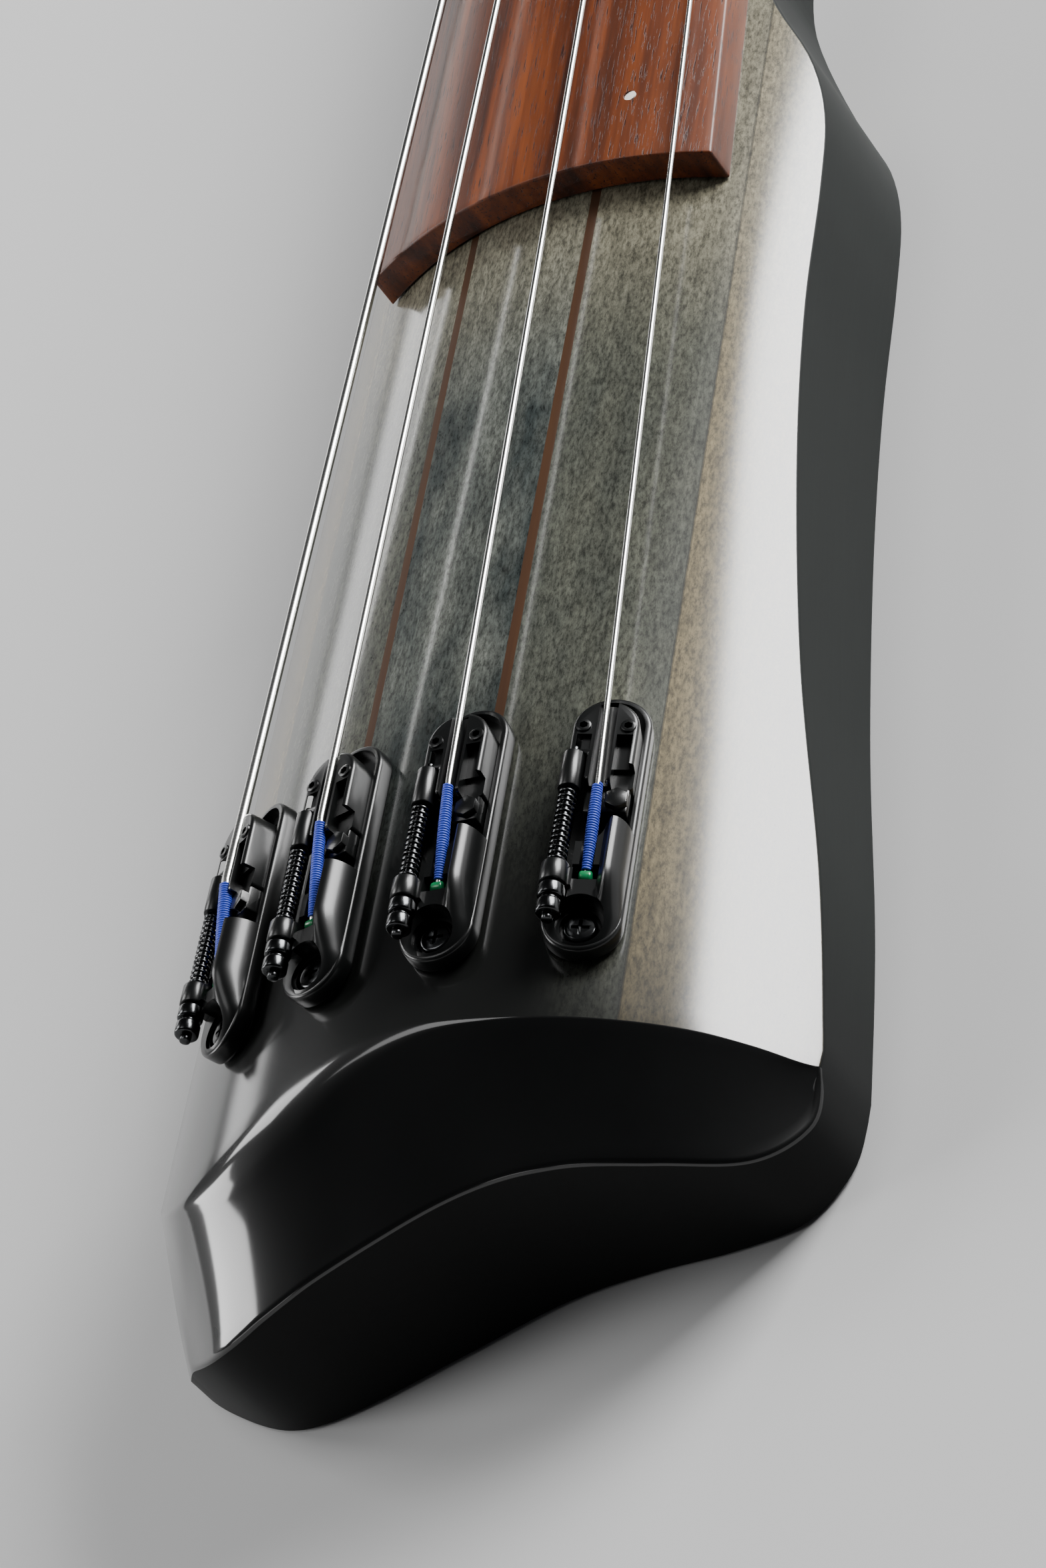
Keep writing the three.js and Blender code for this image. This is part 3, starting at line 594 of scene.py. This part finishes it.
# for each column from treble to bass: start on the arch, end on the outline, heights
def facetColumns(count):
    line = splineThrough(body["facet"], 1200)
    inside = np.abs(line[:, 0]) < halfWidthAt(line[:, 1])
    line = line[inside]
    start, lower = line[:, :2], line[:, 2:4]
    lowerHeight = archHeight(np.clip(lower[:, 0], -60, 60)) - line[:, 4]
    outline = bodyOutline(1500)
    a, b = outline[:-1], outline[1:]
    ends, shares = [], []
    for p, q in zip(start, lower):
        along, edge, gapTo = q - p, b - a, a - p
        bottom = along[0] * edge[:, 1] - along[1] * edge[:, 0]
        t = (gapTo[:, 0] * edge[:, 1] - gapTo[:, 1] * edge[:, 0]) / bottom
        u = (gapTo[:, 0] * along[1] - gapTo[:, 1] * along[0]) / bottom
        found = t[(t > 1e-6) & (u >= 0) & (u <= 1)]
        share = found.min() if len(found) else 0.0
        ends.append(p + along * share)
        shares.append(share)
    ends, shares = np.array(ends), np.array(shares)
    startHeight = archHeight(start[:, 0])
    endHeight = startHeight + (lowerHeight - startHeight) * shares
    # columns stand at even steps along the tail's edge
    endSteps, startSteps = (np.hypot(*np.diff(line, axis=0).T) for line in (ends, start))
    steps = np.r_[0, np.cumsum(endSteps + 0.4 * startSteps)]
    even = np.linspace(0, steps[-1], count)
    pick = lambda values: np.interp(even, steps, values)
    begin = np.stack([pick(start[:, 0]), pick(start[:, 1])], 1)
    finish = np.stack([pick(ends[:, 0]), pick(ends[:, 1])], 1)
    return begin, finish, pick(startHeight), pick(endHeight)


def unitVectors(v):
    return v / np.maximum(np.linalg.norm(v, axis=-1, keepdims=True), 1e-9)


def bodySurface():
    columns, edge = body["columns"] + 1, body["edgeSteps"]
    begin, finish, beginHeight, endHeight = facetColumns(columns)
    across = unitVectors(finish - begin)
    across[0], across[-1] = across[1], across[-2]
    length = np.linalg.norm(finish - begin, axis=1)
    archFall = np.arctan(begin[:, 0] * across[:, 0] / np.sqrt(body["archRadius"] ** 2 - begin[:, 0] ** 2))
    facetFall = np.arctan((beginHeight - endHeight) / np.maximum(length, 0.05))
    facetFall = np.maximum(facetFall, archFall + 0.02)
    # the lip between arch and facet is soft on the bass half and crisp elsewhere
    softness = np.exp(-(((begin[:, 0] + 14) / 17) ** 2))
    lip = body["lipSharp"] + (body["lipSoft"] - body["lipSharp"]) * softness
    reach = np.minimum(lip * np.tan((facetFall - archFall) / 2), 0.35 * length)
    lip = reach / np.tan((facetFall - archFall) / 2)
    lipStart = begin - across * (reach * np.cos(archFall))[:, None]
    lipStartHeight = archHeight(lipStart[:, 0])
    lipEnd = begin + across * (reach * np.cos(facetFall))[:, None]
    lipEndHeight = beginHeight - reach * np.sin(facetFall)

    # the outward direction and the fall of the surface at the tail's edge
    along = np.gradient(finish, axis=0)
    outward = unitVectors(np.stack([along[:, 1], -along[:, 0]], 1))
    outward *= np.sign(np.sum(outward * (finish - np.array([0, 20])), 1))[:, None]
    fall = np.arctan(np.tan(facetFall) * np.clip(np.sum(across * outward, 1), 0.1, 1))
    # the corner turns broadly into the bass flank, as far as the wall's height lets it
    bassward = np.clip((-finish[:, 0] - 40) / 11, 0, 1)
    bassward = bassward * bassward * (3 - 2 * bassward)
    room = np.cos(fall) - np.tan(fall) * (1 - np.sin(fall))
    widest = np.minimum(body["bassRound"], (endHeight - 0.5) / np.maximum(room, 0.05))
    tailRound = body["tailRound"] + np.maximum(widest - body["tailRound"], 0) * bassward
    tailRound = np.minimum(tailRound, (0.2 + 0.5 * length) / np.maximum(1 - np.sin(fall), 0.12))
    tailRound = np.where(bassward > 0, tailRound, np.minimum(tailRound, 0.2 + 0.5 * length))
    inset = tailRound * (1 - np.sin(fall))
    rim = finish - outward * inset[:, None]
    rimHeight = endHeight + np.tan(fall) * inset

    rows = []
    top = np.linspace(0, 1, body["archRows"] + 1)
    share = lipStart[:, 0] / halfWidthAt(lipStart[:, 1])
    share[0], share[-1] = 1, -1
    for v in top:
        y = body["end"] + (lipStart[:, 1] - body["end"]) * v
        x = share * halfWidthAt(y)
        rows.append(np.stack([x, y, archHeight(x)], 1))
    rows[-1][:, :2] = lipStart
    rows[-1][:, 2] = lipStartHeight
    lipSteps = 7
    for k in range(1, lipSteps + 1):
        angle = archFall + (facetFall - archFall) * k / lipSteps
        step = lip * (np.sin(angle) - np.sin(archFall))
        place = lipStart + across * step[:, None]
        height = lipStartHeight - lip * (np.cos(archFall) - np.cos(angle))
        # the arch isn't quite flat along the way, so the end is brought onto the facet
        missing = lipEndHeight - (lipStartHeight - lip * (np.cos(archFall) - np.cos(facetFall)))
        height += missing * k / lipSteps
        rows.append(np.column_stack([place, height]))
    for w in np.linspace(0, 1, body["facetRows"] + 1)[1:]:
        place = lipEnd + (rim - lipEnd) * w
        height = lipEndHeight + (rimHeight - lipEndHeight) * w
        rows.append(np.column_stack([place, height]))
    surface = np.array(rows)
    archCount = body["archRows"] + 1
    # the facet is drawn taut between its lip and its lower edge, so it turns evenly at the bass end
    facet = surface[archCount + lipSteps - 1 :]
    for _ in range(body["relax"]):
        inner = facet[:-2, 1:-1] + facet[2:, 1:-1] + facet[1:-1, :-2] + facet[1:-1, 2:]
        facet[1:-1, 1:-1] = inner / 4

    # side edges: every arch row ends in a small round before the upright wall
    def roundOff(point, out2, fallAngle, radius, steps):
        line = []
        centre = point[:2] - out2 * radius
        rise = math.tan(fallAngle) * radius * (1 - math.sin(fallAngle))
        middle = point[2] + rise - radius * math.cos(fallAngle)
        for k in range(steps + 1):
            angle = fallAngle + (math.pi / 2 - fallAngle) * k / steps
            line.append([*(centre + out2 * radius * math.sin(angle)), middle + radius * math.cos(angle)])
        return line

    count, wide = surface.shape[0], surface.shape[1]
    extra = edge + 2
    places = np.zeros((count + 2 * extra, wide + 2 * extra, 3))
    places[extra : extra + count, extra : extra + wide] = surface

    def walled(line):
        last = line[-1]
        return line + [[last[0], last[1], 0.0]]

    sideWalls = {}
    for sign, column in ((1, 0), (-1, wide - 1)):
        for r in range(count):
            if r < archCount:
                x, y = surface[r, column, :2]
                slope = halfWidthAt(y + 0.5) - halfWidthAt(y - 0.5)
                out2 = unitVectors(np.array([sign * 1.0, -slope]))
                point = np.array([sign * halfWidthAt(y), y, archHeight(halfWidthAt(y))])
                fallAngle = math.atan(abs(x) / math.sqrt(body["archRadius"] ** 2 - x * x) * abs(out2[0]))
                line = walled(roundOff(point, out2, fallAngle, body["sideRound"], edge))
            sideWalls[(column, r)] = line
    tailWalls = []
    for c in range(wide):
        point = np.array([finish[c, 0], finish[c, 1], endHeight[c]])
        tailWalls.append(walled(roundOff(point, outward[c], fall[c], tailRound[c], edge)))
    for column in (0, wide - 1):
        tailWalls[column] = sideWalls[(column, archCount - 1)]
        for r in range(archCount - 1, count):
            surface[r, column] = sideWalls[(column, archCount - 1)][0]
        for r in range(archCount):
            surface[r, column] = sideWalls[(column, r)][0]
    places[extra : extra + count, extra : extra + wide] = surface

    def neckWall(c):
        p = surface[0, c]
        ladder = np.linspace(p[2], 0, edge + 2)
        return [[p[0], p[1], z] for z in ladder]

    for r in range(count + 2 * extra):
        for c in range(wide + 2 * extra):
            down = extra - r if r < extra else max(0, r - (extra + count - 1))
            side = extra - c if c < extra else max(0, c - (extra + wide - 1))
            if not down and not side:
                continue
            row = min(max(r - extra, 0), count - 1)
            column = min(max(c - extra, 0), wide - 1)
            step = min(max(down, side), edge + 1)
            if side:
                places[r, c] = sideWalls[(column, row)][step]
            elif r < extra:
                places[r, c] = neckWall(column)[step]
            else:
                places[r, c] = tailWalls[column][step]
    # down each column at the bass end, the facet melts into the flank without a crease
    first, last = extra + archCount + lipSteps, extra + count - 1 + edge
    melt = bassward * np.clip((wide - 1 - np.arange(wide)) / 10, 0, 1)
    part = places[:, extra : extra + wide]
    for _ in range(body["melt"]):
        middle = (part[first - 1 : last - 1] + part[first + 1 : last + 1]) / 2
        part[first:last] += (middle - part[first:last]) * melt[None, :, None]
    return places, extra, archCount


def buildBody():
    places, extra, archCount = bodySurface()
    piece, cells = placedGrid("stained_body", places)
    paint(piece, looks["maple"], looks["black"], looks["satin"])
    rows, columns = places.shape[:2]
    for face, (r, c) in zip(piece.data.polygons, cells):
        offSide = max(extra - 2 - c, c - (columns - extra), 0)
        offTail = r >= rows - 3
        if r < extra or offSide or offTail:
            face.material_index = 2
        elif r >= extra + archCount:
            face.material_index = 1
    closeOpenings(piece, 0.004)
    piece.data.polygons[-1].material_index = 2
    return piece


def bodyOpenings():
    z, wall = 11.6, -42.4
    return [
        addRod("heel", (-60, 190, -20), (60, 190, -20), 35, 96),
        addBox("cavity", -24.6, 24.6, 62, 128, -1, 20.5),
        addBox("coverSeat", -30.3, 30.3, 56.7, 133.3, -1, 2.6),
        addBox("pocket", -14.3, 14.3, 135.7, 191, 15.7, 44),
        addRod("jackWay", (-46, 119, z), (-20, 119, z), 5.3, 32),
        addRod("potWay", (-46, 101, z), (-20, 101, z), 3.9, 32),
        addRod("jackSeat", (-60, 119, z), (wall + 1.2, 119, z), 7.4, 48),
        addRod("knobSeat", (-60, 101, z), (wall + 0.5, 101, z), 6.7, 48),
    ]


bodyPiece = buildBody()
cut(bodyPiece, *bodyOpenings())
smooth(bodyPiece, 28)
laminations = ["body_core", "accent_strip_left", "accent_strip_right"]
laminations += ["inner_block_left", "inner_block_right", "wing_left", "wing_right"]
show(bodyPiece, "body", "stained_maple", *laminations)
print("body shaped:", len(bodyPiece.data.polygons), "faces")

board = {
    "start": 123.3,
    "end": 689.7,
    "scale": 690.0,
    "crest": (44.7, 54.5),
    "radius": (71.5, 26.0),
    "half": (31.0, 13.8),
    "seatCrest": (39.2, 49.0),
    "seatRadius": (66.0, 20.5),
    "gap": 0.3,
    "edge": 0.7,
}


def boardSection(y):
    t = (y - board["start"]) / (board["scale"] - board["start"])
    s = max(0.0, (y - body["end"]) / (board["scale"] - body["end"]))
    lerp = lambda pair, f: pair[0] + (pair[1] - pair[0]) * f
    return {
        "crest": lerp(board["crest"], t),
        "radius": lerp(board["radius"], t),
        "half": lerp(board["half"], t),
        "seatCrest": lerp(board["seatCrest"], s),
        "seatRadius": lerp(board["seatRadius"], s),
    }


def arcAt(x, crest, radius):
    return crest - radius + math.sqrt(radius * radius - x * x)


def buildFingerboard():
    deselect()
    first, last, rim = board["start"], board["end"], 1.6
    ys = [first, first + rim, 150, body["end"], 300, 400, 500, 600, last - rim, last]
    shares = [1.0] + list(np.linspace(0.955, -0.955, 41)) + [-1.0]
    rings = []
    for y in ys:
        s = boardSection(y)
        seat = (s["seatCrest"] + board["gap"], s["seatRadius"] + board["gap"])
        upper = [[s["half"] * k, y, arcAt(s["half"] * k, s["crest"], s["radius"])] for k in shares]
        lower = [[s["half"] * k, y, arcAt(s["half"] * k, *seat)] for k in reversed(shares)]
        ring = upper + lower
        rings.append(ring + [ring[0]])
    piece = placedGrid("padauk_fingerboard", np.array(rings))[0]
    closeOpenings(piece, 0.004)
    return roundEdges(piece, board["edge"], 4, 50)


dot = {"x": 17.6, "y": 137.8, "radius": 1.0}
boardPiece = buildFingerboard()
dotSection = boardSection(dot["y"])
dotTop = arcAt(dot["x"], dotSection["crest"], dotSection["radius"])


def dotRod(name, low, high, radius):
    return addRod(name, (dot["x"], dot["y"], dotTop + low), (dot["x"], dot["y"], dotTop + high), radius, 32)


cut(boardPiece, dotRod("dotHole", -1.9, 5, dot["radius"] + 0.05))
smooth(boardPiece, 35)
show(paint(boardPiece, looks["padauk"]), "body", "padauk_board", "fingerboard")
dotPiece = dotRod("white_dot", -1.6, -0.1, dot["radius"])
show(smooth(paint(dotPiece, looks["pearl"])), "body", "dot_inlay", "position_dot")
print("fingerboard shaped")

refined("neck", looks["satin"], "body", "dark_stained_maple", 0.6, 40, 3)
refined("nut", looks["nut"], "body", "nut_black", 0.15, 40)

unit = {
    "pitch": math.radians(16.5),
    "tail": -28.9,
    "half": 5.4,
    "length": 43.5,
    "floor": 1.2,
    "rim": 2.8,
    "caseEnd": 19.2,
    "caseTop": 6.8,
    "caseSkin": 0.12,
    "middle": 5.0,
    "screwX": -3.8,
    "screwZ": 5.6,
    "coils": 13.5,
    "coilRadius": 1.12,
    "wire": 0.23,
}


def unitPlace(n):
    angle = (n - 2.5) * unit["pitch"]
    foot = body["archRadius"] + 0.3
    spot = (foot * math.sin(angle) * mm, unit["tail"] * mm, (archCentre + foot * math.cos(angle)) * mm)
    return Matrix.Translation(spot) @ Matrix.Rotation(angle, 4, "Y")


def screwLine(y):
    return (unit["screwX"], y, unit["screwZ"])


# the case: a flat middle, a half-round rail on the treble side, and a tail that rounds down to the tray
def caseHeight(x, y):
    half, top = unit["half"] - unit["caseSkin"], unit["caseTop"]
    inward = half - (math.hypot(x, y - half) if y < half else abs(x))
    lift = min(max((y - 1.0) / 10.0, 0), 1)
    roof = 3.6 + (top - 3.6) * lift * lift * (3 - 2 * lift)
    rail = min(max((x - 1.7) / 1.2, 0), 1)
    middle = min(roof, unit["middle"])
    roof = middle + (roof - middle) * rail * rail * (3 - 2 * rail)
    shoulder = min(max(inward / 2.5, 0), 1)
    return 1.6 + (roof - 1.6) * math.sqrt(1 - (1 - shoulder) ** 2)


def modelCase():
    skin, steps, turns = unit["caseSkin"], 48, 20
    half = unit["half"] - skin
    ends = [half * (1 - math.cos(math.pi / 2 * k / turns)) for k in range(turns + 1)]
    ends += list(np.linspace(half, unit["caseEnd"], 22)[1:])
    rows = []
    for y in ends:
        wide = math.sqrt(max(half**2 - (half - y) ** 2, 0)) if y < half else half
        shares = [math.sin(math.pi / 2 * (2 * k / steps - 1)) for k in range(steps + 1)]
        line = [[s * wide, y, caseHeight(s * wide, y)] for s in shares]
        rows.append([[line[0][0], y, 0.6]] + line + [[line[-1][0], y, 0.6]])
    rows.append([[p[0], p[1], 0.6] for p in rows[-1]])
    case = placedGrid("case", np.array(rows) + np.array([0, skin, 0]))[0]
    closeOpenings(case, 0.002)
    return case


def modelBase():
    half, length = unit["half"], unit["length"]
    tray = addStadium("base", half, 0, length, 0, unit["rim"])
    roundEdges(tray, 0.5, 3)
    channel = addStadium("channel", half - 0.9, unit["caseEnd"] - 6, length - 0.9, unit["floor"], 12)
    cut(tray, channel)
    case = modelCase()
    cut(case, addBox("screwRoom", -20, -1.9, -5, 8.2, unit["rim"], 20))
    cut(case, addBox("springRoom", -20, -1.9, 11.8, 50, unit["rim"], 20))
    cut(case, addRod("dish", (-1.3, 19.4, unit["floor"]), (-1.3, 19.4, 20), 3.1, 48))
    weld(tray, case)
    collar = addRod("collar", screwLine(8.3), screwLine(11.6), 1.9, 40)
    roundEdges(collar, 0.25, 2)
    weld(tray, collar)
    weld(tray, addBox("web", unit["screwX"] - 1, -1.5, 8.5, 11.4, 1, unit["screwZ"]))
    cut(tray, addBox("slot", -0.95, 0.95, 9.9, 24, 3.0, 20))
    cut(tray, addRod("ballRoom", (-1.8, 11.2, 4.0), (1.8, 11.2, 4.0), 1.6, 32))
    cut(tray, addRod("cup", (0, 4.0, 1.0), (0, 4.0, 20), 2.75, 64))
    cut(tray, addRod("cupRim", (0, 4.2, 2.4), (0, 4.2, 20), 3.3, 64))
    cut(tray, addRod("cupHole", (0, 4.0, -5), (0, 4.0, 20), 1.6, 32))
    cut(tray, addRod("screwWay", screwLine(-5), screwLine(40), 0.9, 24))
    cut(tray, addRod("tipHole", (0, 40.6, 0.4), (0, 40.6, 5), 0.6, 20))
    return smooth(cleaned(tray), 30)


def modelSaddle():
    block = addStadium("saddle", 4.45, 18, 39.6, 1.6, 6.6)
    cut(block, addBox("rear", -20, 20, 0, 25.6, -5, 20))
    cut(block, addBox("sleeveRoom", -20, -2.0, 0, 30.2, -5, 20))
    roundEdges(block, 0.6, 4, 60)
    cut(block, addBox("channel", -1.25, 1.25, 10, 50, 5.3, 20))
    cut(block, addBox("leftPocket", -3.7, -1.7, 30.9, 33.6, 6.0, 20))
    cut(block, addBox("rightPocket", 1.65, 3.8, 28.0, 33.6, 5.2, 20))
    cut(block, addBox("rightShelf", 1.65, 20, 0, 28.6, 4.6, 20))
    step = addBox("step", -1.8, 4.1, 21.8, 27, 1.6, 4.6)
    roundEdges(step, 0.3, 2)
    weld(block, step)
    sleeve = addRod("sleeve", screwLine(24.5), screwLine(30.6), 1.55, 40)
    roundEdges(sleeve, 0.2, 2)
    weld(block, sleeve)
    boss = addRod("boss", (2.6, 23.6, 1.6), (2.6, 23.6, 5.6), 1.7, 6)
    roundEdges(boss, 0.15, 2)
    weld(block, boss)
    cut(block, addRod("screwWay", screwLine(0), screwLine(36), 0.9, 24))
    for x in (-3.0, 3.0):
        screw = addRod("heightScrew", (x, 35.0, 4), (x, 35.0, 6.9), 1.05, 32)
        roundEdges(screw, 0.2, 2)
        weld(block, screw)
        cut(block, addRod("hexSocket", (x, 35.0, 5.9), (x, 35.0, 10), 0.6, 6))
    return smooth(cleaned(block), 30)


def modelLengthScrew():
    thread = addRod("lengthScrew", screwLine(6.3), screwLine(31.7), 0.6, 24)
    for y0, y1, radius in ((3.4, 5.4, 1.7), (5.3, 6.1, 1.3), (6.0, 8.0, 1.8)):
        ring = addRod("ring", screwLine(y0), screwLine(y1), radius, 40)
        roundEdges(ring, 0.3, 3)
        weld(thread, ring)
    tip = addRod("tip", screwLine(2.4), screwLine(3.5), 0.8, 24)
    roundEdges(tip, 0.2, 2)
    weld(thread, tip)
    return smooth(cleaned(thread), 30)


def modelSpring():
    start, end = 11.9 + unit["wire"], 24.2 - unit["wire"]
    steps = int(unit["coils"] * 20)
    points = []
    for k in range(steps + 1):
        share = k / steps
        angle = 2 * math.pi * unit["coils"] * share
        x = unit["screwX"] + unit["coilRadius"] * math.cos(angle)
        z = unit["screwZ"] + unit["coilRadius"] * math.sin(angle)
        points.append((x, start + (end - start) * share, z))
    return smooth(tube("spring", points, unit["wire"], 8), 60)


def modelMountScrew():
    cap = addRod("mountScrew", (0, 4.0, 1.3), (0, 4.0, 2.5), 2.3, 48)
    roundEdges(cap, 0.5, 4)
    cut(cap, addBox("crossA", -1.2, 1.2, 3.75, 4.25, 1.8, 9))
    cut(cap, addBox("crossB", -0.25, 0.25, 2.8, 5.2, 1.8, 9))
    weld(cap, addRod("shank", (0, 4.0, -14), (0, 4.0, 1.8), 1.3, 24))
    return smooth(cleaned(cap), 30)


def modelPin():
    return smooth(addBall("pin", (1.15, 26.4, 5.0), 0.5), 60)


unitPieces = [
    (modelBase(), "anodised", "body", "black_anodised", "bridge_base_"),
    (modelSaddle(), "anodised", "saddle_", "black_anodised", "bridge_saddle_"),
    (modelLengthScrew(), "blackSteel", "length_screw_", "black_steel", "length_screw_"),
    (modelSpring(), "blackSteel", None, "black_steel", "length_spring_"),
    (modelMountScrew(), "blackSteel", "body", "black_steel", "mount_screw_"),
    (modelPin(), "steel", "saddle_", "string_steel", None),
]
for n in (1, 2, 3, 4):
    for model, look, bodyName, slot, node in unitPieces:
        copy = model.copy()
        copy.data = model.data.copy()
        bpy.context.scene.collection.objects.link(copy)
        copy.name = copy.data.name = f"{model.name}_{n}"
        copy.data.transform(unitPlace(n))
        paint(copy, looks[look])
        nodes = [node + str(n)] if node else []
        if bodyName is None:
            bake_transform(copy)
            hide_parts(*nodes)
        else:
            show(copy, bodyName if bodyName == "body" else bodyName + str(n), slot, *nodes)
for model, *rest in unitPieces:
    bpy.data.objects.remove(model)
print("bridge units placed")

strings = {
    "apex": Vector((0, 1033, 60.1)),
    "height": 6.8,
    "diameters": (1.5, 1.1, 0.95, 0.8),
    "silkRadius": 0.75,
    "thread": 0.2,
    "bendAt": (-1.0, -1.0, -1.4, -3.4),
    "nutAt": 693.0,
    "ball": (0, 11.0, 3.9),
    "ballRadius": 0.95,
    "ballHalf": 0.9,
}
head = {
    "tilt": math.radians(15.5),
    "top": Vector((0, 694, 48)),
    "posts": [(-1, 30), (-1, 76), (1, 76), (1, 30)],
}
post = {"offset": 13.5, "radius": 3.0, "wrapHeight": 5.0, "turns": 3}


def stringAt(n, y):
    angle = (n - 2.5) * unit["pitch"]
    radius = body["archRadius"] + strings["height"]
    start = Vector((radius * math.sin(angle), 0, archCentre + radius * math.cos(angle)))
    return start + (strings["apex"] - start) * (y / strings["apex"].y)


def headPoint(x, along, height):
    c, s = math.cos(head["tilt"]), math.sin(head["tilt"])
    return Vector((x, head["top"].y + along * c + height * s, head["top"].z - along * s + height * c))


def unitPoint(n, place):
    return (unitPlace(n) @ (Vector(place) * mm)) / mm


def stringPath(n, radius):
    side, along = head["posts"][n - 1]
    reach = post["radius"] + radius + 0.32
    path = [unitPoint(n, strings["ball"]), stringAt(n, strings["bendAt"][n - 1])]
    path += [stringAt(n, y) for y in (0, 200, 450, strings["nutAt"])]
    steps = 28
    drop = 2 * radius * 1.02
    for k in range(post["turns"] * steps + 1):
        angle = 2 * math.pi * k / steps
        x = side * (post["offset"] - reach * math.cos(angle))
        height = post["wrapHeight"] - drop * k / steps * 0.55
        path.append(headPoint(x, along + reach * math.sin(angle), height))
    return path


def silkWinding(n, radius):
    ball, bend = unitPoint(n, strings["ball"]), stringAt(n, strings["bendAt"][n - 1])
    along = (bend - ball).normalized()
    sideways = along.cross(Vector((0, 0, 1))).normalized()
    upward = sideways.cross(along)
    start, end = ball.lerp(bend, 0.08), ball.lerp(bend, 0.96)
    length = (end - start).length
    pitch = strings["thread"] * 1.9
    steps = int(length / pitch * 12)
    thinnest = max(strings["silkRadius"] - strings["thread"], radius + 0.04)
    points = []
    for k in range(steps + 1):
        share = k / steps
        bulge = thinnest + 0.12 * math.sin(share * math.pi)
        angle = 2 * math.pi * share * length / pitch
        centre = start.lerp(end, share)
        points.append(centre + sideways * (bulge * math.cos(angle)) + upward * (bulge * math.sin(angle)))
    return points


for n in (1, 2, 3, 4):
    radius = strings["diameters"][n - 1] / 2
    line = tube(f"steel_string_{n}", stringPath(n, radius), radius, 16)
    show(smooth(paint(line, looks["string"]), 60), "body", "string_steel", f"string_{n}")
    silk = tube(f"silk_winding_{n}", silkWinding(n, radius), strings["thread"], 6)
    show(smooth(paint(silk, looks["silk"]), 70), "body", "string_steel")
    a = unitPoint(n, (-strings["ballHalf"], *strings["ball"][1:]))
    b = unitPoint(n, (strings["ballHalf"], *strings["ball"][1:]))
    ball = addRod(f"ball_end_{n}", a, b, strings["ballRadius"], 32)
    roundEdges(ball, 0.4, 3)
    show(smooth(paint(ball, looks["greenBall"])), "body", "string_steel")
print("strings strung")

for n in (1, 2, 3, 4):
    refined(f"tuner_box_{n}", looks["anodised"], "body", "black_anodised", 0.5, 40, 3)
    refined(f"string_post_{n}", looks["blackSteel"], f"post_{n}", "black_steel", 0.2, 40)
    refined(f"tuner_button_{n}", looks["anodised"], f"tuner_button_{n}", "black_anodised", 0.4, 40, 3)
    refined(f"cover_screw_{n}", looks["blackSteel"], "body", "black_steel", 0.12, 40)

refined("cavity_cover", looks["plastic"], "body", "cover_plastic", 0.3, 40)
refined("volume_knob", looks["anodised"], "volume_knob", "black_anodised", 0.4, 40, 3)
refined("output_jack", looks["blackSteel"], "body", "black_steel", 0.2, 40)
hidden = {"truss_rod": "steel", "battery": "battery", "preamp_board": "board", "volume_pot": "steel"}
for node, look in hidden.items():
    paint(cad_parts[node], looks[look])
print("tuners and electronics placed")

deselect()
bpy.ops.mesh.primitive_plane_add(size=12, location=(0, 0, -0.0006))
floor = named("floor")
floorLook, floorTree, floorShader = newMaterial("pale studio floor", Roughness=0.7)
floorShader.inputs["Base Color"].default_value = hexColour("b9b9b9")
paint(floor, floorLook)


def addLight(name, place, target, size, power):
    data = bpy.data.lights.new(name, "AREA")
    data.shape = "RECTANGLE"
    data.size, data.size_y = size
    data.energy = power
    light = bpy.data.objects.new(name, data)
    bpy.context.scene.collection.objects.link(light)
    light.location = place
    light.rotation_euler = (Vector(target) - Vector(place)).to_track_quat("-Z", "Y").to_euler()
    return light


world = bpy.data.worlds.new("studio")
bpy.context.scene.world = world
world.use_nodes = True
world.node_tree.nodes["Background"].inputs["Color"].default_value = hexColour("8a8c8f")
world.node_tree.nodes["Background"].inputs["Strength"].default_value = 0.16
addLight("rightBox", (1.2, 1.35, 0.8), (0, 0.05, 0), (1.0, 0.9), 115)
addLight("rightSpill", (0.66, 1.3, 1.25), (0, 0.05, 0), (0.5, 0.5), 0.8)
addLight("topBox", (-0.35, 0.25, 1.7), (0, 0.1, 0), (0.7, 0.7), 6)
addLight("leftStrip", (-1.15, 1.1, 0.24), (0, 0.1, 0), (0.7, 0.26), 2.4)
addLight("leftBox", (-1.31, -0.22, 0.56), (0, 0.0, 0), (0.66, 0.62), 17)
addLight("lipBox", (-1.1, 0.5, 0.87), (0, 0.0, 0), (0.42, 0.5), 7)
addLight("tailStrip", (-0.75, -1.25, 0.12), (0, -0.05, 0), (0.9, 0.2), 1.2)
